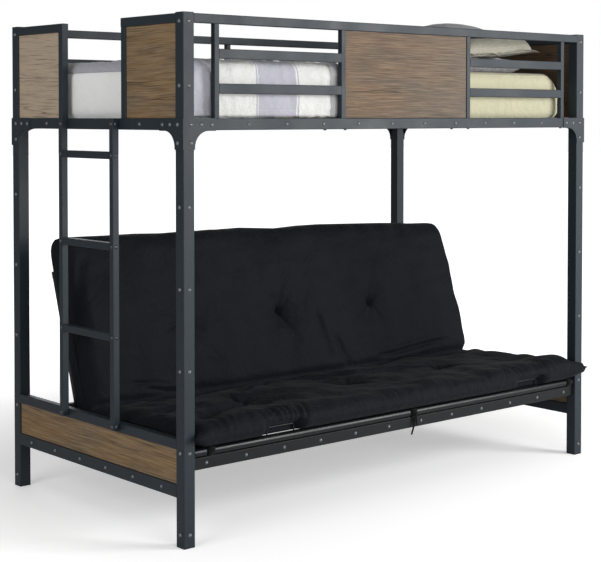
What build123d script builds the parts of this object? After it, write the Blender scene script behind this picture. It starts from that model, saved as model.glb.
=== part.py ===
"""Loft bed with a futon below: square steel posts, riveted rails, timber panels and a ladder.

Millimetres, +Z up, +X along the bed from the ladder end, +Y from the front to the back.
The origin lies on the floor, under the middle of the whole outline.
"""
from build123d import *
import os
from math import asin, cos, degrees, radians, sin

os.makedirs("parts", exist_ok=True)

# Overall sizes
bed_length = 1990.0
bed_width = 1064.0
bed_height = 1695.0

# Posts
post_side = 43.0
post_wall = 1.5
post_corner = 2.5
cap_thickness = 3.0
plug_depth = 18.0
plug_clearance = 0.2

# Box section tubes
tube_wall = 1.5
tube_corner = 2.5
end_plate_thickness = 2.0
end_plate_clearance = 0.2
rail_depth = 25.0
top_rail_height = 30.0
side_rail_height = 38.0
guard_depth_from_top = 372.0
side_rail_bottom = bed_height - guard_depth_from_top

# Guard rails
guard_depth = 20.0
guard_bar_height = 32.0
stile_width = 20.0
outer_stile_inset = 123.0
guard_panel_width = 610.0

# Timber panels
panel_thickness = 15.0
panel_recess = 5.0
guard_panel_recess = 3.0
panel_gap = 0.3
panel_edge = 1.0

# End frames
end_stile_width = 26.0
end_panel_width = 280.0
lower_top_rail_top = 344.0
lower_top_rail_height = 33.0
lower_bottom_rail_bottom = 157.0
lower_bottom_rail_height = 42.0

# Long lower rails
lower_rail_bottom = 240.0
lower_rail_height = 39.0
lower_rail_setback = 14.0

# Corner brackets
bracket_thickness = 2.5
bracket_reach = 127.0
bracket_overlap = 2.0
bracket_drop = 99.0
bracket_leg = 44.0
bracket_radius = 53.0

# Rivets and bolts
rivet_radius = 5.5
rivet_height = 4.0
rail_rivet_radius = 5.0
rail_rivet_height = 3.5
bolt_radius = 6.0
bolt_height = 3.5
post_rivet_bottom = 42.0
post_rivet_share = 0.1963
post_rivet_count = 5
top_rivet_below_top = 29.0
guard_rivet_below_top = 231.0
rail_rivet_share = 0.0819
end_rivet_share = 0.1532
side_rail_rivet_count = 10
lower_rail_rivet_count = 12
end_rail_rivet_count = 6
deck_end_rivet_offset = 290.0
bracket_rivet_inset = 28.0
bracket_rivet_pitch = 41.0
bracket_rivet_row = 20.0
bracket_rivet_drop = 58.0
rail_bolt_shares = (0.304, 0.351, 0.619, 0.664, 0.935)

# Bed deck
ledge_leg = 22.0
ledge_wall = 2.0
ledge_top_below_rail = 26.0
slat_width = 30.0
slat_height = 12.0
slat_count = 12
slat_clearance = 1.5
deck_centre_height = 12.0
deck_centre_width = 25.0

# Ladder
ladder_width = 341.0
ladder_stile_width = 22.0
ladder_depth = 25.0
ladder_bottom = 320.0
rung_height = 25.0
lowest_rung = 630.0
rung_top_gap = 86.0
rung_count = 3

# Futon frame
deck_top = 309.5
front_tube_radius = 15.0
front_tube_wall = 1.5
front_tube_y = 22.0
front_tube_end_gap = 7.0
futon_tube = 25.0
back_tube_inset = 56.0
seat_tube_gap = 2.0
weld_gap = 0.2
hinge_y = 711.0
hinge_overhang = 12.0
recline = 18.0
back_length = 522.0
tail_length = 80.0
tail_end = 12.0
pin_radius = 6.0
guide_pin_radius = 5.0
pin_clearance = 0.05
seat_travel = 350.0
fold_travel = 72.0
seat_rear_tube_ahead = 30.0
futon_slat_width = 30.0
futon_slat_height = 10.0
seat_slat_count = 5
seat_slat_first = 70.0
back_slat_count = 5
back_slat_first = 80.0

# Seat runners and glides
runner_width = 27.0
runner_wall = 2.0
runner_mouth_gap = 2.0
glide_bracket = 3.0
glide_length = 40.0
glide_thickness = 13.0
glide_clearance = 0.3
front_glide_y = 430.0
rear_glide_y = 655.0

# Slotted guide plates
guide_inset = 46.0
guide_thickness = 4.0
guide_margin = 14.0
guide_bottom = 165.0
guide_below_deck = 0.5
slot_clearance = 1.0
spacer_radius = 7.0
spacer_count = 3
guide_pin_overhang = 2.0

# Mattress keeps, bent from wire and welded on top of the front tube
wire_radius = 2.5
keep_width = 122.0
keep_height = 27.0
keep_bend = 9.0
keep_forward = 2.0
keep_centre_offsets = (-583.0, 672.5)

# Futon mattress
mattress_end_gap = 4.0
cushion_gap = 0.3
nose_start_y = 10.0
nose_reach = 20.0
nose_middle_height = 350.0
nose_top_y = 40.0
nose_top_height = 391.0
seat_crown_y = 300.0
seat_crown_height = 373.0
crease_y = 597.0
crease_height = 350.0
seat_heel = 14.0
corner_reach = 38.0
corner_overlap = 26.0
corner_bottom = 311.0
corner_top = 379.0
corner_length = 90.0
corner_round = 15.0
nose_gap = 2.0
back_foot = 10.0
back_crease_along = 16.0
back_crease_thickness = 126.0
back_crown_along = 300.0
back_crown_thickness = 141.0
back_shoulder = 575.0
back_shoulder_thickness = 131.0
back_top_along = 634.0
back_top_thickness = 76.0
back_rim_along = 620.0
back_rim_thickness = 38.0
back_brow_along = 612.0
back_brow_thickness = 112.0
tuft_radius = 110.0
tuft_depth = 12.0
tuft_pitch = 490.0
seat_tuft_y = 330.0
seat_tuft_height = 372.0
back_tuft_along = 268.0
keep_pocket = 6.0
tie_thickness = 1.5
tie_width = 31.0
tie_left_inset = 113.0
tie_right_inset = 72.0
tie_middle_offset = 38.5
tie_tail_width = 8.0
tie_tail_lengths = (78.0, 55.0)
tie_band_half_angle = 50.0

# Bedding
mattress_side_gap = 37.0
mattress_foot_gap = 46.0
mattress_head_gap = 65.0
mattress_height = 190.0
mattress_corner = 80.0
mattress_edge = 25.0
comforter_side = 12.0
comforter_top = 22.0
comforter_start = 46.0
comforter_tuck = 13.0
comforter_hang = 176.0
comforter_edge = 40.0
pillow_corner = 60.0
pillow_gap = 0.3
# Each level of a pillow: how far above or below its middle, and how wide it is there, as shares
pillow_rise_shares = ((-1.0, 0.50), (-0.72, 0.80), (-0.25, 0.97), (0.25, 0.97), (0.72, 0.80), (1.0, 0.50))
# Each pillow from the bottom up: its name, its gaps to the head and the front, and its size
pillows = (
    ("pillow_lilac", 250.0, 85.0, (420.0, 640.0, 66.0)),
    ("pillow_cream", 165.0, 70.0, (450.0, 660.0, 72.0)),
    ("pillow_grey", 110.0, 120.0, (440.0, 640.0, 72.0)),
)


# Frame of reference
ladder_reach = ladder_depth + bolt_height
rivet_reach = bracket_thickness + rivet_height
left = -(bed_length + rivet_reach - ladder_reach) / 2
right = left + bed_length
front = -(bed_width + rivet_reach - corner_reach) / 2
back = front + bed_width
middle_x = (left + right) / 2
middle_y = (front + back) / 2
inner_left = left + post_side
inner_right = right - post_side
inner_front = front + post_side
inner_back = back - post_side
tube_top = bed_height - cap_thickness

nodes = []


def keep(builder, label):
    """Name a finished piece and put it on the list that is written at the end."""
    builder.part.label = label
    nodes.append(builder)


def middle(span):
    """Middle of a pair of limits."""
    return (span[0] + span[1]) / 2


def width(span):
    """Distance between a pair of limits."""
    return span[1] - span[0]


def mirrored_x(span):
    """The same limits at the other end of the bed."""
    return (2 * middle_x - span[1], 2 * middle_x - span[0])


def mirrored_y(span):
    """The same limits at the other side of the bed."""
    return (2 * middle_y - span[1], 2 * middle_y - span[0])


def run_plane(axis, spans):
    """Plane at the start of a run along an axis, with the two limits across it and the length."""
    x_span, y_span, z_span = spans
    if axis == "x":
        return Plane.YZ.offset(x_span[0]), y_span, z_span, width(x_span)
    if axis == "y":
        return Plane.XZ.offset(-y_span[1]), x_span, z_span, width(y_span)
    return Plane.XY.offset(z_span[0]), x_span, y_span, width(z_span)


def box_tubes(label, axis, runs, wall=tube_wall, corner=tube_corner):
    """Hollow rectangular tubes along one axis, each given by its outer limits in x, y and z."""
    with BuildPart() as tubes:
        for spans in runs:
            plane, across, up, length = run_plane(axis, spans)
            with BuildSketch(plane):
                with Locations((middle(across), middle(up))):
                    RectangleRounded(width(across), width(up), corner)
                    RectangleRounded(
                        width(across) - 2 * wall, width(up) - 2 * wall, corner - wall, mode=Mode.SUBTRACT
                    )
            extrude(amount=length)
    keep(tubes, label)


def end_plates(label, ends):
    """Plates inside the open ends of tubes, each given by a plane that faces out of the tube and its size."""
    inset = 2 * (tube_wall + end_plate_clearance)
    with BuildPart() as plates:
        for plane, across, up in ends:
            with BuildSketch(plane):
                RectangleRounded(across - inset, up - inset, tube_corner - tube_wall)
            extrude(amount=-end_plate_thickness)
    keep(plates, label)


def boards(label, axis, runs):
    """Solid boards with softened edges, each given by its outer limits."""
    with BuildPart() as pieces:
        for spans in runs:
            plane, across, up, length = run_plane(axis, spans)
            with BuildSketch(plane):
                with Locations((middle(across), middle(up))):
                    Rectangle(width(across), width(up))
            extrude(amount=length)
        chamfer(pieces.edges(), panel_edge)
    keep(pieces, label)


def domes(label, places, radius, height):
    """Round heads of rivets or bolts, each standing on a plane that faces outwards."""
    ball = (radius**2 + height**2) / (2 * height)
    latitude = degrees(asin((ball - height) / ball))
    with BuildPart() as heads:
        with Locations(*[Location(place) for place in places]):
            Sphere(ball, arc_size1=latitude, arc_size2=90, align=(Align.CENTER, Align.CENTER, Align.MIN))
    keep(heads, label)


def facing(x, y, z, direction):
    """Plane at a point of an outer face, looking out along a direction."""
    return Plane(origin=(x, y, z), z_dir=direction)


def centred(count, pitch, centre):
    """Evenly pitched places about a centre."""
    return [centre + (index - (count - 1) / 2) * pitch for index in range(count)]


to_front = (0, -1, 0)
to_back = (0, 1, 0)
to_left = (-1, 0, 0)
to_right = (1, 0, 0)
upwards = (0, 0, 1)
downwards = (0, 0, -1)

# Posts with their feet and top caps
post_x = ((left, inner_left), (inner_right, right))
post_y = ((front, inner_front), (inner_back, back))
post_z = (cap_thickness, tube_top)
post_names = {
    "post_front_left": (0, 0),
    "post_front_right": (1, 0),
    "post_back_left": (0, 1),
    "post_back_right": (1, 1),
}
for post_name, (column, row) in post_names.items():
    box_tubes(post_name, "z", [(post_x[column], post_y[row], post_z)], post_wall, post_corner)

plug_side = post_side - 2 * post_wall - 2 * plug_clearance
post_centres = [(middle(x_span), middle(y_span)) for x_span in post_x for y_span in post_y]

with BuildPart() as post_feet:
    with BuildSketch(Plane.XY):
        with Locations(*post_centres):
            RectangleRounded(post_side, post_side, post_corner)
    extrude(amount=cap_thickness)
    with BuildSketch(Plane.XY.offset(cap_thickness)):
        with Locations(*post_centres):
            RectangleRounded(plug_side, plug_side, post_corner - post_wall)
    extrude(amount=plug_depth)
keep(post_feet, "post_feet")

with BuildPart() as post_top_caps:
    with BuildSketch(Plane.XY.offset(tube_top)):
        with Locations(*post_centres):
            RectangleRounded(post_side, post_side, post_corner)
    extrude(amount=cap_thickness)
    chamfer(post_top_caps.faces().sort_by(Axis.Z)[-4:].edges(), panel_edge)
    with BuildSketch(Plane.XY.offset(tube_top)):
        with Locations(*post_centres):
            RectangleRounded(plug_side, plug_side, post_corner - post_wall)
    extrude(amount=-plug_depth)
keep(post_top_caps, "post_top_caps")

# Rails of the sleeping deck and the rails above it
inner_x = (inner_left, inner_right)
inner_y = (inner_front, inner_back)
front_rail_y = (front, front + rail_depth)
back_rail_y = mirrored_y(front_rail_y)
left_rail_x = (left, left + rail_depth)
right_rail_x = mirrored_x(left_rail_x)
top_rail_z = (tube_top - top_rail_height, tube_top)
side_rail_z = (side_rail_bottom, side_rail_bottom + side_rail_height)
guard_z = (side_rail_z[1], top_rail_z[0])

box_tubes("front_top_rail", "x", [(inner_x, front_rail_y, top_rail_z)])
box_tubes("back_top_rail", "x", [(inner_x, back_rail_y, top_rail_z)])
box_tubes("front_side_rail", "x", [(inner_x, front_rail_y, side_rail_z)])
box_tubes("back_side_rail", "x", [(inner_x, back_rail_y, side_rail_z)])
box_tubes("end_deck_rails", "y", [(span, inner_y, side_rail_z) for span in (left_rail_x, right_rail_x)])

# Guard rails
front_guard_y = (front, front + guard_depth)
back_guard_y = mirrored_y(front_guard_y)
outer_stile_x = (left + outer_stile_inset, left + outer_stile_inset + stile_width)
panel_stile_x = (middle_x - guard_panel_width / 2 - stile_width, middle_x - guard_panel_width / 2)
centre_stile_x = (middle_x - stile_width / 2, middle_x + stile_width / 2)
bar_gap = (width(guard_z) - 2 * guard_bar_height) / 3
low_bar_z = (guard_z[0] + bar_gap, guard_z[0] + bar_gap + guard_bar_height)
high_bar_z = (guard_z[1] - bar_gap - guard_bar_height, guard_z[1] - bar_gap)
front_bay_x = (outer_stile_x[1], panel_stile_x[0])
back_bay_x = (outer_stile_x[1], centre_stile_x[0])

front_stiles = [outer_stile_x, panel_stile_x, mirrored_x(panel_stile_x), mirrored_x(outer_stile_x)]
back_stiles = [outer_stile_x, centre_stile_x, mirrored_x(outer_stile_x)]
box_tubes("front_guard_stiles", "z", [(span, front_guard_y, guard_z) for span in front_stiles])
box_tubes("back_guard_stiles", "z", [(span, back_guard_y, guard_z) for span in back_stiles])
bars_z = (low_bar_z, high_bar_z)
front_bays = (front_bay_x, mirrored_x(front_bay_x))
back_bays = (back_bay_x, mirrored_x(back_bay_x))
box_tubes("front_guard_bars", "x", [(bay, front_guard_y, bar) for bay in front_bays for bar in bars_z])
box_tubes("back_guard_bars", "x", [(bay, back_guard_y, bar) for bay in back_bays for bar in bars_z])

# Ends above the deck: two timber panels beside the way in, one wide panel at the other end
panel_z = (guard_z[0] + panel_gap, guard_z[1] - panel_gap)
near_stile_y = (inner_front + end_panel_width, inner_front + end_panel_width + end_stile_width)
far_stile_y = mirrored_y(near_stile_y)
near_top_y = (inner_front, near_stile_y[1])
box_tubes(
    "end_top_rails",
    "y",
    [
        (left_rail_x, near_top_y, top_rail_z),
        (left_rail_x, mirrored_y(near_top_y), top_rail_z),
        (right_rail_x, inner_y, top_rail_z),
    ],
)
box_tubes("left_end_stiles", "z", [(left_rail_x, span, guard_z) for span in (near_stile_y, far_stile_y)])

left_panel_x = (left + panel_recess, left + panel_recess + panel_thickness)
near_panel_y = (inner_front + panel_gap, near_stile_y[0] - panel_gap)
wide_panel_y = (inner_front + panel_gap, inner_back - panel_gap)
guard_panel_x = (panel_stile_x[1] + panel_gap, mirrored_x(panel_stile_x)[0] - panel_gap)
guard_panel_y = (front + guard_panel_recess, front + guard_panel_recess + panel_thickness)
end_panel_spans = (near_panel_y, mirrored_y(near_panel_y))
boards("left_end_panels", "x", [(left_panel_x, span, panel_z) for span in end_panel_spans])
boards("headboard_panel", "x", [(mirrored_x(left_panel_x), wide_panel_y, panel_z)])
boards("guard_panel", "y", [(guard_panel_x, guard_panel_y, panel_z)])

# Lower ends
lower_top_z = (lower_top_rail_top - lower_top_rail_height, lower_top_rail_top)
lower_bottom_z = (lower_bottom_rail_bottom, lower_bottom_rail_bottom + lower_bottom_rail_height)
lower_panel_z = (lower_bottom_z[1] + panel_gap, lower_top_z[0] - panel_gap)
lower_end_spans = (lower_top_z, lower_bottom_z)
end_rail_x = (left_rail_x, right_rail_x)
box_tubes("lower_end_rails", "y", [(rail, inner_y, span) for rail in end_rail_x for span in lower_end_spans])
end_board_x = (left_panel_x, mirrored_x(left_panel_x))
boards("lower_end_panels", "x", [(board, wide_panel_y, lower_panel_z) for board in end_board_x])

# Long lower rails, set back from the face of the posts
lower_rail_z = (lower_rail_bottom, lower_rail_bottom + lower_rail_height)
front_lower_y = (front + lower_rail_setback, front + lower_rail_setback + rail_depth)
long_lower_y = (front_lower_y, mirrored_y(front_lower_y))
box_tubes("long_lower_rails", "x", [(inner_x, span_y, lower_rail_z) for span_y in long_lower_y])

# Corner brackets, folded round the outer faces of each post under the deck
bracket_top = side_rail_z[1]
tab_bottom = side_rail_bottom - bracket_overlap
bracket_bottom = bracket_top - bracket_drop


def bracket_outline(post_face, inward):
    """Closed outline of one wing: a tab along the rail and a leg down the post, joined by a hollow curve."""
    outer = post_face - inward * bracket_thickness
    leg_edge = post_face + inward * bracket_leg
    curve_end = leg_edge + inward * bracket_radius
    reach = post_face + inward * bracket_reach
    Polyline(
        (leg_edge, tab_bottom - bracket_radius),
        (leg_edge, bracket_bottom),
        (outer, bracket_bottom),
        (outer, bracket_top),
        (reach, bracket_top),
        (reach, tab_bottom),
        (curve_end, tab_bottom),
    )
    middle_in = leg_edge + inward * bracket_radius * (1 - sin(radians(45)))
    middle_up = tab_bottom - bracket_radius * (1 - sin(radians(45)))
    ThreePointArc((curve_end, tab_bottom), (middle_in, middle_up), (leg_edge, tab_bottom - bracket_radius))


with BuildPart() as corner_brackets:
    for corner_x, inward_x in ((left, 1), (right, -1)):
        for corner_y, inward_y in ((front, 1), (back, -1)):
            with BuildSketch(Plane.XZ.offset(-corner_y)):
                with BuildLine():
                    bracket_outline(corner_x, inward_x)
                make_face()
            extrude(amount=inward_y * bracket_thickness)
            with BuildSketch(Plane.YZ.offset(corner_x)):
                with BuildLine():
                    bracket_outline(corner_y, inward_y)
                make_face()
            extrude(amount=-inward_x * bracket_thickness)
keep(corner_brackets, "corner_brackets")

# Rivets on posts, brackets and rails
post_rivet_pitch = post_rivet_share * side_rail_bottom
post_rivet_heights = [post_rivet_bottom + step * post_rivet_pitch for step in range(post_rivet_count)]
post_rivet_heights += [bed_height - top_rivet_below_top, bed_height - guard_rivet_below_top]
x_faces = ((left, to_left), (right, to_right))
y_faces = ((front, to_front), (back, to_back))
column_x = [middle(span) for span in post_x]
column_y = [middle(span) for span in post_y]
post_places = [facing(x, y, z, way) for x in column_x for y, way in y_faces for z in post_rivet_heights]
post_places += [facing(x, y, z, way) for y in column_y for x, way in x_faces for z in post_rivet_heights]
domes("post_rivets", post_places, rivet_radius, rivet_height)

bracket_row_z = bracket_top - bracket_rivet_row
bracket_spots = [(bracket_rivet_inset + step * bracket_rivet_pitch, bracket_row_z) for step in range(3)]
bracket_spots.append((bracket_rivet_inset, bracket_row_z - bracket_rivet_drop))
bracket_places = []
for inset, z in bracket_spots:
    for x in (left + inset, right - inset):
        bracket_places.append(facing(x, front - bracket_thickness, z, to_front))
        bracket_places.append(facing(x, back + bracket_thickness, z, to_back))
    for y in (front + inset, back - inset):
        bracket_places.append(facing(left - bracket_thickness, y, z, to_left))
        bracket_places.append(facing(right + bracket_thickness, y, z, to_right))
domes("bracket_rivets", bracket_places, rivet_radius, rivet_height)

rail_rivet_pitch = rail_rivet_share * bed_length
side_rivet_x = centred(side_rail_rivet_count, rail_rivet_pitch, middle_x)
lower_rivet_x = centred(lower_rail_rivet_count, rail_rivet_pitch, middle_x)
end_rivet_y = centred(end_rail_rivet_count, end_rivet_share * bed_width, middle_y)
deck_end_rivet_y = (middle_y - deck_end_rivet_offset, middle_y + deck_end_rivet_offset)
rail_places = [facing(x, y, middle(side_rail_z), way) for x in side_rivet_x for y, way in y_faces]
rail_places += [facing(x, front_lower_y[0], middle(lower_rail_z), to_front) for x in lower_rivet_x]
rail_places += [facing(x, mirrored_y(front_lower_y)[1], middle(lower_rail_z), to_back) for x in lower_rivet_x]
rail_places += [facing(x, y, middle(lower_bottom_z), way) for y in end_rivet_y for x, way in x_faces]
rail_places += [facing(x, y, middle(side_rail_z), way) for y in deck_end_rivet_y for x, way in x_faces]
domes("rail_rivets", rail_places, rail_rivet_radius, rail_rivet_height)

bolt_places = [
    facing(left + share * bed_length, middle(rail_y), side_rail_bottom, downwards)
    for share in rail_bolt_shares
    for rail_y in (front_rail_y, back_rail_y)
]
domes("rail_bolts", bolt_places, bolt_radius, bolt_height)

# Slatted deck that carries the upper mattress
ledge_top = side_rail_z[1] - ledge_top_below_rail
ledge_bottom = ledge_top - ledge_wall
with BuildPart() as deck_ledges:
    for rail_face, inward in ((front_rail_y[1], 1), (back_rail_y[0], -1)):
        with BuildSketch(Plane.YZ.offset(inner_left)):
            with BuildLine():
                Polyline(
                    (rail_face, ledge_bottom),
                    (rail_face + inward * ledge_leg, ledge_bottom),
                    (rail_face + inward * ledge_leg, ledge_top),
                    (rail_face + inward * ledge_wall, ledge_top),
                    (rail_face + inward * ledge_wall, ledge_bottom + ledge_leg),
                    (rail_face, ledge_bottom + ledge_leg),
                    close=True,
                )
            make_face()
        extrude(amount=bed_length - 2 * post_side)
keep(deck_ledges, "deck_ledges")

slat_inset = ledge_wall + slat_clearance
slat_y = (front_rail_y[1] + slat_inset, back_rail_y[0] - slat_inset)
slat_z = (ledge_top, ledge_top + slat_height)
slat_pitch = (bed_length - 2 * post_side) / slat_count
slat_centres = centred(slat_count, slat_pitch, middle_x)
slat_spans = [(x - slat_width / 2, x + slat_width / 2) for x in slat_centres]
box_tubes("deck_slats", "y", [(span, slat_y, slat_z) for span in slat_spans])
deck_centre_y = (middle_y - deck_centre_width / 2, middle_y + deck_centre_width / 2)
deck_centre_x = (left_rail_x[1], right_rail_x[0])
deck_centre_z = (ledge_top - deck_centre_height, ledge_top)
box_tubes("deck_centre_rail", "x", [(deck_centre_x, deck_centre_y, deck_centre_z)])

# Ladder, bolted to the outside of the end
ladder_x = (left - ladder_depth, left)
near_ladder_y = (middle_y - ladder_width / 2, middle_y - ladder_width / 2 + ladder_stile_width)
far_ladder_y = mirrored_y(near_ladder_y)
rung_y = (near_ladder_y[1], far_ladder_y[0])
rung_pitch = (side_rail_bottom - lowest_rung - rung_top_gap) / (rung_count - 1)
rung_heights = [lowest_rung + step * rung_pitch for step in range(rung_count)]
rung_spans = [(z - rung_height / 2, z + rung_height / 2) for z in rung_heights]
ladder_z = (ladder_bottom, side_rail_z[1])
box_tubes("ladder_stiles", "z", [(ladder_x, span, ladder_z) for span in (near_ladder_y, far_ladder_y)])
box_tubes("ladder_rungs", "y", [(ladder_x, rung_y, span) for span in rung_spans])

frame_ends = []
for end_y, way in ((near_top_y[1], to_back), (mirrored_y(near_top_y)[0], to_front)):
    end_plane = Plane(origin=(middle(left_rail_x), end_y, middle(top_rail_z)), x_dir=to_right, z_dir=way)
    frame_ends.append((end_plane, rail_depth, top_rail_height))
for stile_y in (near_ladder_y, far_ladder_y):
    for end_z, way in ((ladder_z[1], upwards), (ladder_z[0], downwards)):
        end_plane = Plane(origin=(middle(ladder_x), middle(stile_y), end_z), x_dir=to_right, z_dir=way)
        frame_ends.append((end_plane, ladder_depth, ladder_stile_width))
end_plates("frame_end_plates", frame_ends)

ladder_places = []
for z in rung_heights + [middle(side_rail_z), middle((ladder_bottom, lower_top_rail_top))]:
    for span, outer_y, way in (
        (near_ladder_y, near_ladder_y[0], to_front),
        (far_ladder_y, far_ladder_y[1], to_back),
    ):
        ladder_places.append(facing(ladder_x[0], middle(span), z, to_left))
        ladder_places.append(facing(middle(ladder_x), outer_y, z, way))
domes("ladder_bolts", ladder_places, bolt_radius, bolt_height)

# Seat frame of the futon
front_tube_z = deck_top - front_tube_radius
front_tube_centre = (front + front_tube_y, front_tube_z)
front_tube_x = (inner_left + front_tube_end_gap, inner_right - front_tube_end_gap)
with BuildPart() as seat_front_tube:
    with BuildSketch(Plane.YZ.offset(front_tube_x[0])):
        with Locations(front_tube_centre):
            Circle(front_tube_radius)
            Circle(front_tube_radius - front_tube_wall, mode=Mode.SUBTRACT)
    extrude(amount=width(front_tube_x))
keep(seat_front_tube, "seat_front_tube")

hinge_line = front + hinge_y
hinge_z = deck_top - futon_tube / 2
back_tube_x = (left + back_tube_inset, left + back_tube_inset + futon_tube)
seat_tube_x = (back_tube_x[1] + seat_tube_gap, back_tube_x[1] + seat_tube_gap + futon_tube)
seat_frame_z = (deck_top - futon_tube, deck_top)
seat_tube_y = (front + front_tube_y + front_tube_radius + weld_gap, hinge_line + hinge_overhang)


def tube_section():
    """Square tube section about the middle of the sketch."""
    RectangleRounded(futon_tube, futon_tube, tube_corner)
    bore = futon_tube - 2 * tube_wall
    RectangleRounded(bore, bore, tube_corner - tube_wall, mode=Mode.SUBTRACT)


def hinge_bore():
    """Section of the bore for the hinge pins."""
    with Locations((hinge_line, hinge_z)):
        Circle(pin_radius + pin_clearance)


with BuildPart() as seat_side_tubes:
    for x_span in (seat_tube_x, mirrored_x(seat_tube_x)):
        with BuildSketch(Plane.XZ.offset(-seat_tube_y[1])):
            with Locations((middle(x_span), middle(seat_frame_z))):
                tube_section()
        extrude(amount=width(seat_tube_y))
    with BuildSketch(Plane.YZ.offset(left)):
        hinge_bore()
    extrude(amount=bed_length, mode=Mode.SUBTRACT)
keep(seat_side_tubes, "seat_side_tubes")

with BuildPart() as seat_end_plates:
    for side_x in (seat_tube_x, mirrored_x(seat_tube_x)):
        rear_place = (middle(side_x), seat_tube_y[1], hinge_z)
        plate_side = futon_tube - 2 * (tube_wall + end_plate_clearance)
        with BuildSketch(Plane(origin=rear_place, x_dir=to_right, z_dir=to_back)):
            RectangleRounded(plate_side, plate_side, tube_corner - tube_wall)
        extrude(amount=-end_plate_thickness)
    for end_x in (front_tube_x[0], front_tube_x[1] - end_plate_thickness):
        with BuildSketch(Plane.YZ.offset(end_x)):
            with Locations(front_tube_centre):
                Circle(front_tube_radius - front_tube_wall - end_plate_clearance)
        extrude(amount=end_plate_thickness)
keep(seat_end_plates, "seat_end_plates")

seat_inside_x = (seat_tube_x[1] + weld_gap, mirrored_x(seat_tube_x)[0] - weld_gap)
rear_tube_y = (hinge_line - seat_rear_tube_ahead, hinge_line - seat_rear_tube_ahead + futon_tube)
box_tubes("seat_rear_tube", "x", [(seat_inside_x, rear_tube_y, seat_frame_z)])

futon_slat_z = (deck_top - futon_slat_height, deck_top)
seat_slat_room = hinge_y - seat_rear_tube_ahead - futon_slat_width - 2 * seat_slat_first
seat_slat_pitch = seat_slat_room / (seat_slat_count - 1)
seat_slat_starts = [front + seat_slat_first + step * seat_slat_pitch for step in range(seat_slat_count)]
seat_slat_spans = [(y, y + futon_slat_width) for y in seat_slat_starts]
box_tubes("seat_slats", "x", [(seat_inside_x, span, futon_slat_z) for span in seat_slat_spans])
centre_tube_x = (middle_x - futon_tube / 2, middle_x + futon_tube / 2)
seat_centre_z = (seat_frame_z[0], futon_slat_z[0])
seat_centre_y = (seat_tube_y[0], rear_tube_y[0] - weld_gap)
box_tubes("seat_centre_tube", "y", [(centre_tube_x, seat_centre_y, seat_centre_z)])

# Runners that hold the seat, and the glides that slide in them
bracket_x = (seat_tube_x[1], seat_tube_x[1] + glide_bracket)
runner_x = (bracket_x[1] + runner_mouth_gap, bracket_x[1] + runner_mouth_gap + runner_width)
runner_y = (front_lower_y[1], mirrored_y(front_lower_y)[0])
glide_z = (lower_rail_z[0] + runner_wall + glide_clearance, lower_rail_z[1] - runner_wall - glide_clearance)

with BuildPart() as seat_runners:
    for mouth_x, web_x, inward in (
        (runner_x[0], runner_x[1], 1),
        (mirrored_x(runner_x)[1], mirrored_x(runner_x)[0], -1),
    ):
        with BuildSketch(Plane.XZ.offset(-runner_y[1])):
            with BuildLine():
                Polyline(
                    (mouth_x, lower_rail_z[0]),
                    (web_x, lower_rail_z[0]),
                    (web_x, lower_rail_z[1]),
                    (mouth_x, lower_rail_z[1]),
                    (mouth_x, lower_rail_z[1] - runner_wall),
                    (web_x - inward * runner_wall, lower_rail_z[1] - runner_wall),
                    (web_x - inward * runner_wall, lower_rail_z[0] + runner_wall),
                    (mouth_x, lower_rail_z[0] + runner_wall),
                    close=True,
                )
            make_face()
        extrude(amount=width(runner_y))
keep(seat_runners, "seat_runners")

glide_plate_z = (glide_z[0], futon_slat_z[0] - weld_gap)
glide_block_x = (bracket_x[1], bracket_x[1] + glide_thickness)
with BuildPart() as seat_glides:
    for plate_x, block_x in ((bracket_x, glide_block_x), (mirrored_x(bracket_x), mirrored_x(glide_block_x))):
        for glide_y in (front + front_glide_y, front + rear_glide_y):
            with BuildSketch(Plane.XZ.offset(-glide_y - glide_length / 2)):
                with Locations((middle(plate_x), middle(glide_plate_z))):
                    Rectangle(glide_bracket, width(glide_plate_z))
                with Locations((middle(block_x), middle(glide_z))):
                    Rectangle(glide_thickness, width(glide_z))
            extrude(amount=glide_length)
keep(seat_glides, "seat_glides")

# Wire keeps that stop the mattress creeping forwards
keep_y = front + front_tube_y - keep_forward
keep_top = deck_top + keep_height - wire_radius
keep_foot = deck_top - wire_radius
keep_spans = []
for offset_x in keep_centre_offsets:
    keep_spans.append((middle_x + offset_x - keep_width / 2, middle_x + offset_x + keep_width / 2))
with BuildPart() as mattress_keeps:
    for x_span in keep_spans:
        foot_x = (x_span[0] + wire_radius, x_span[1] - wire_radius)
        with BuildLine() as keep_path:
            FilletPolyline(
                (foot_x[0], keep_y, keep_foot),
                (foot_x[0], keep_y, keep_top),
                (foot_x[1], keep_y, keep_top),
                (foot_x[1], keep_y, keep_foot),
                radius=keep_bend,
            )
        with BuildSketch(Plane(origin=keep_path.line @ 0, z_dir=keep_path.line % 0)):
            Circle(wire_radius)
        sweep(path=keep_path.line)
    with BuildSketch(Plane.YZ.offset(front_tube_x[0])):
        with Locations(front_tube_centre):
            Circle(front_tube_radius)
    extrude(amount=width(front_tube_x), mode=Mode.SUBTRACT)
keep(mattress_keeps, "mattress_keeps")

# Hinge pins, fixed in the seat and turning in the back
pin_x = (back_tube_x[0], seat_tube_x[1])
with BuildPart() as hinge_pins:
    for x_span in (pin_x, mirrored_x(pin_x)):
        with BuildSketch(Plane.YZ.offset(x_span[0])):
            with Locations((hinge_line, hinge_z)):
                Circle(pin_radius)
        extrude(amount=width(x_span))
keep(hinge_pins, "hinge_pins")

# Back frame of the futon, set out in its own leaning directions
lean_sin = sin(radians(recline))
lean_cos = cos(radians(recline))


def leaning(along, ahead):
    """Point of the side view at a distance up the back from the hinge and a distance in front of it."""
    y = hinge_line + along * lean_sin - ahead * lean_cos
    z = hinge_z + along * lean_cos + ahead * lean_sin
    return y, z


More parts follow.
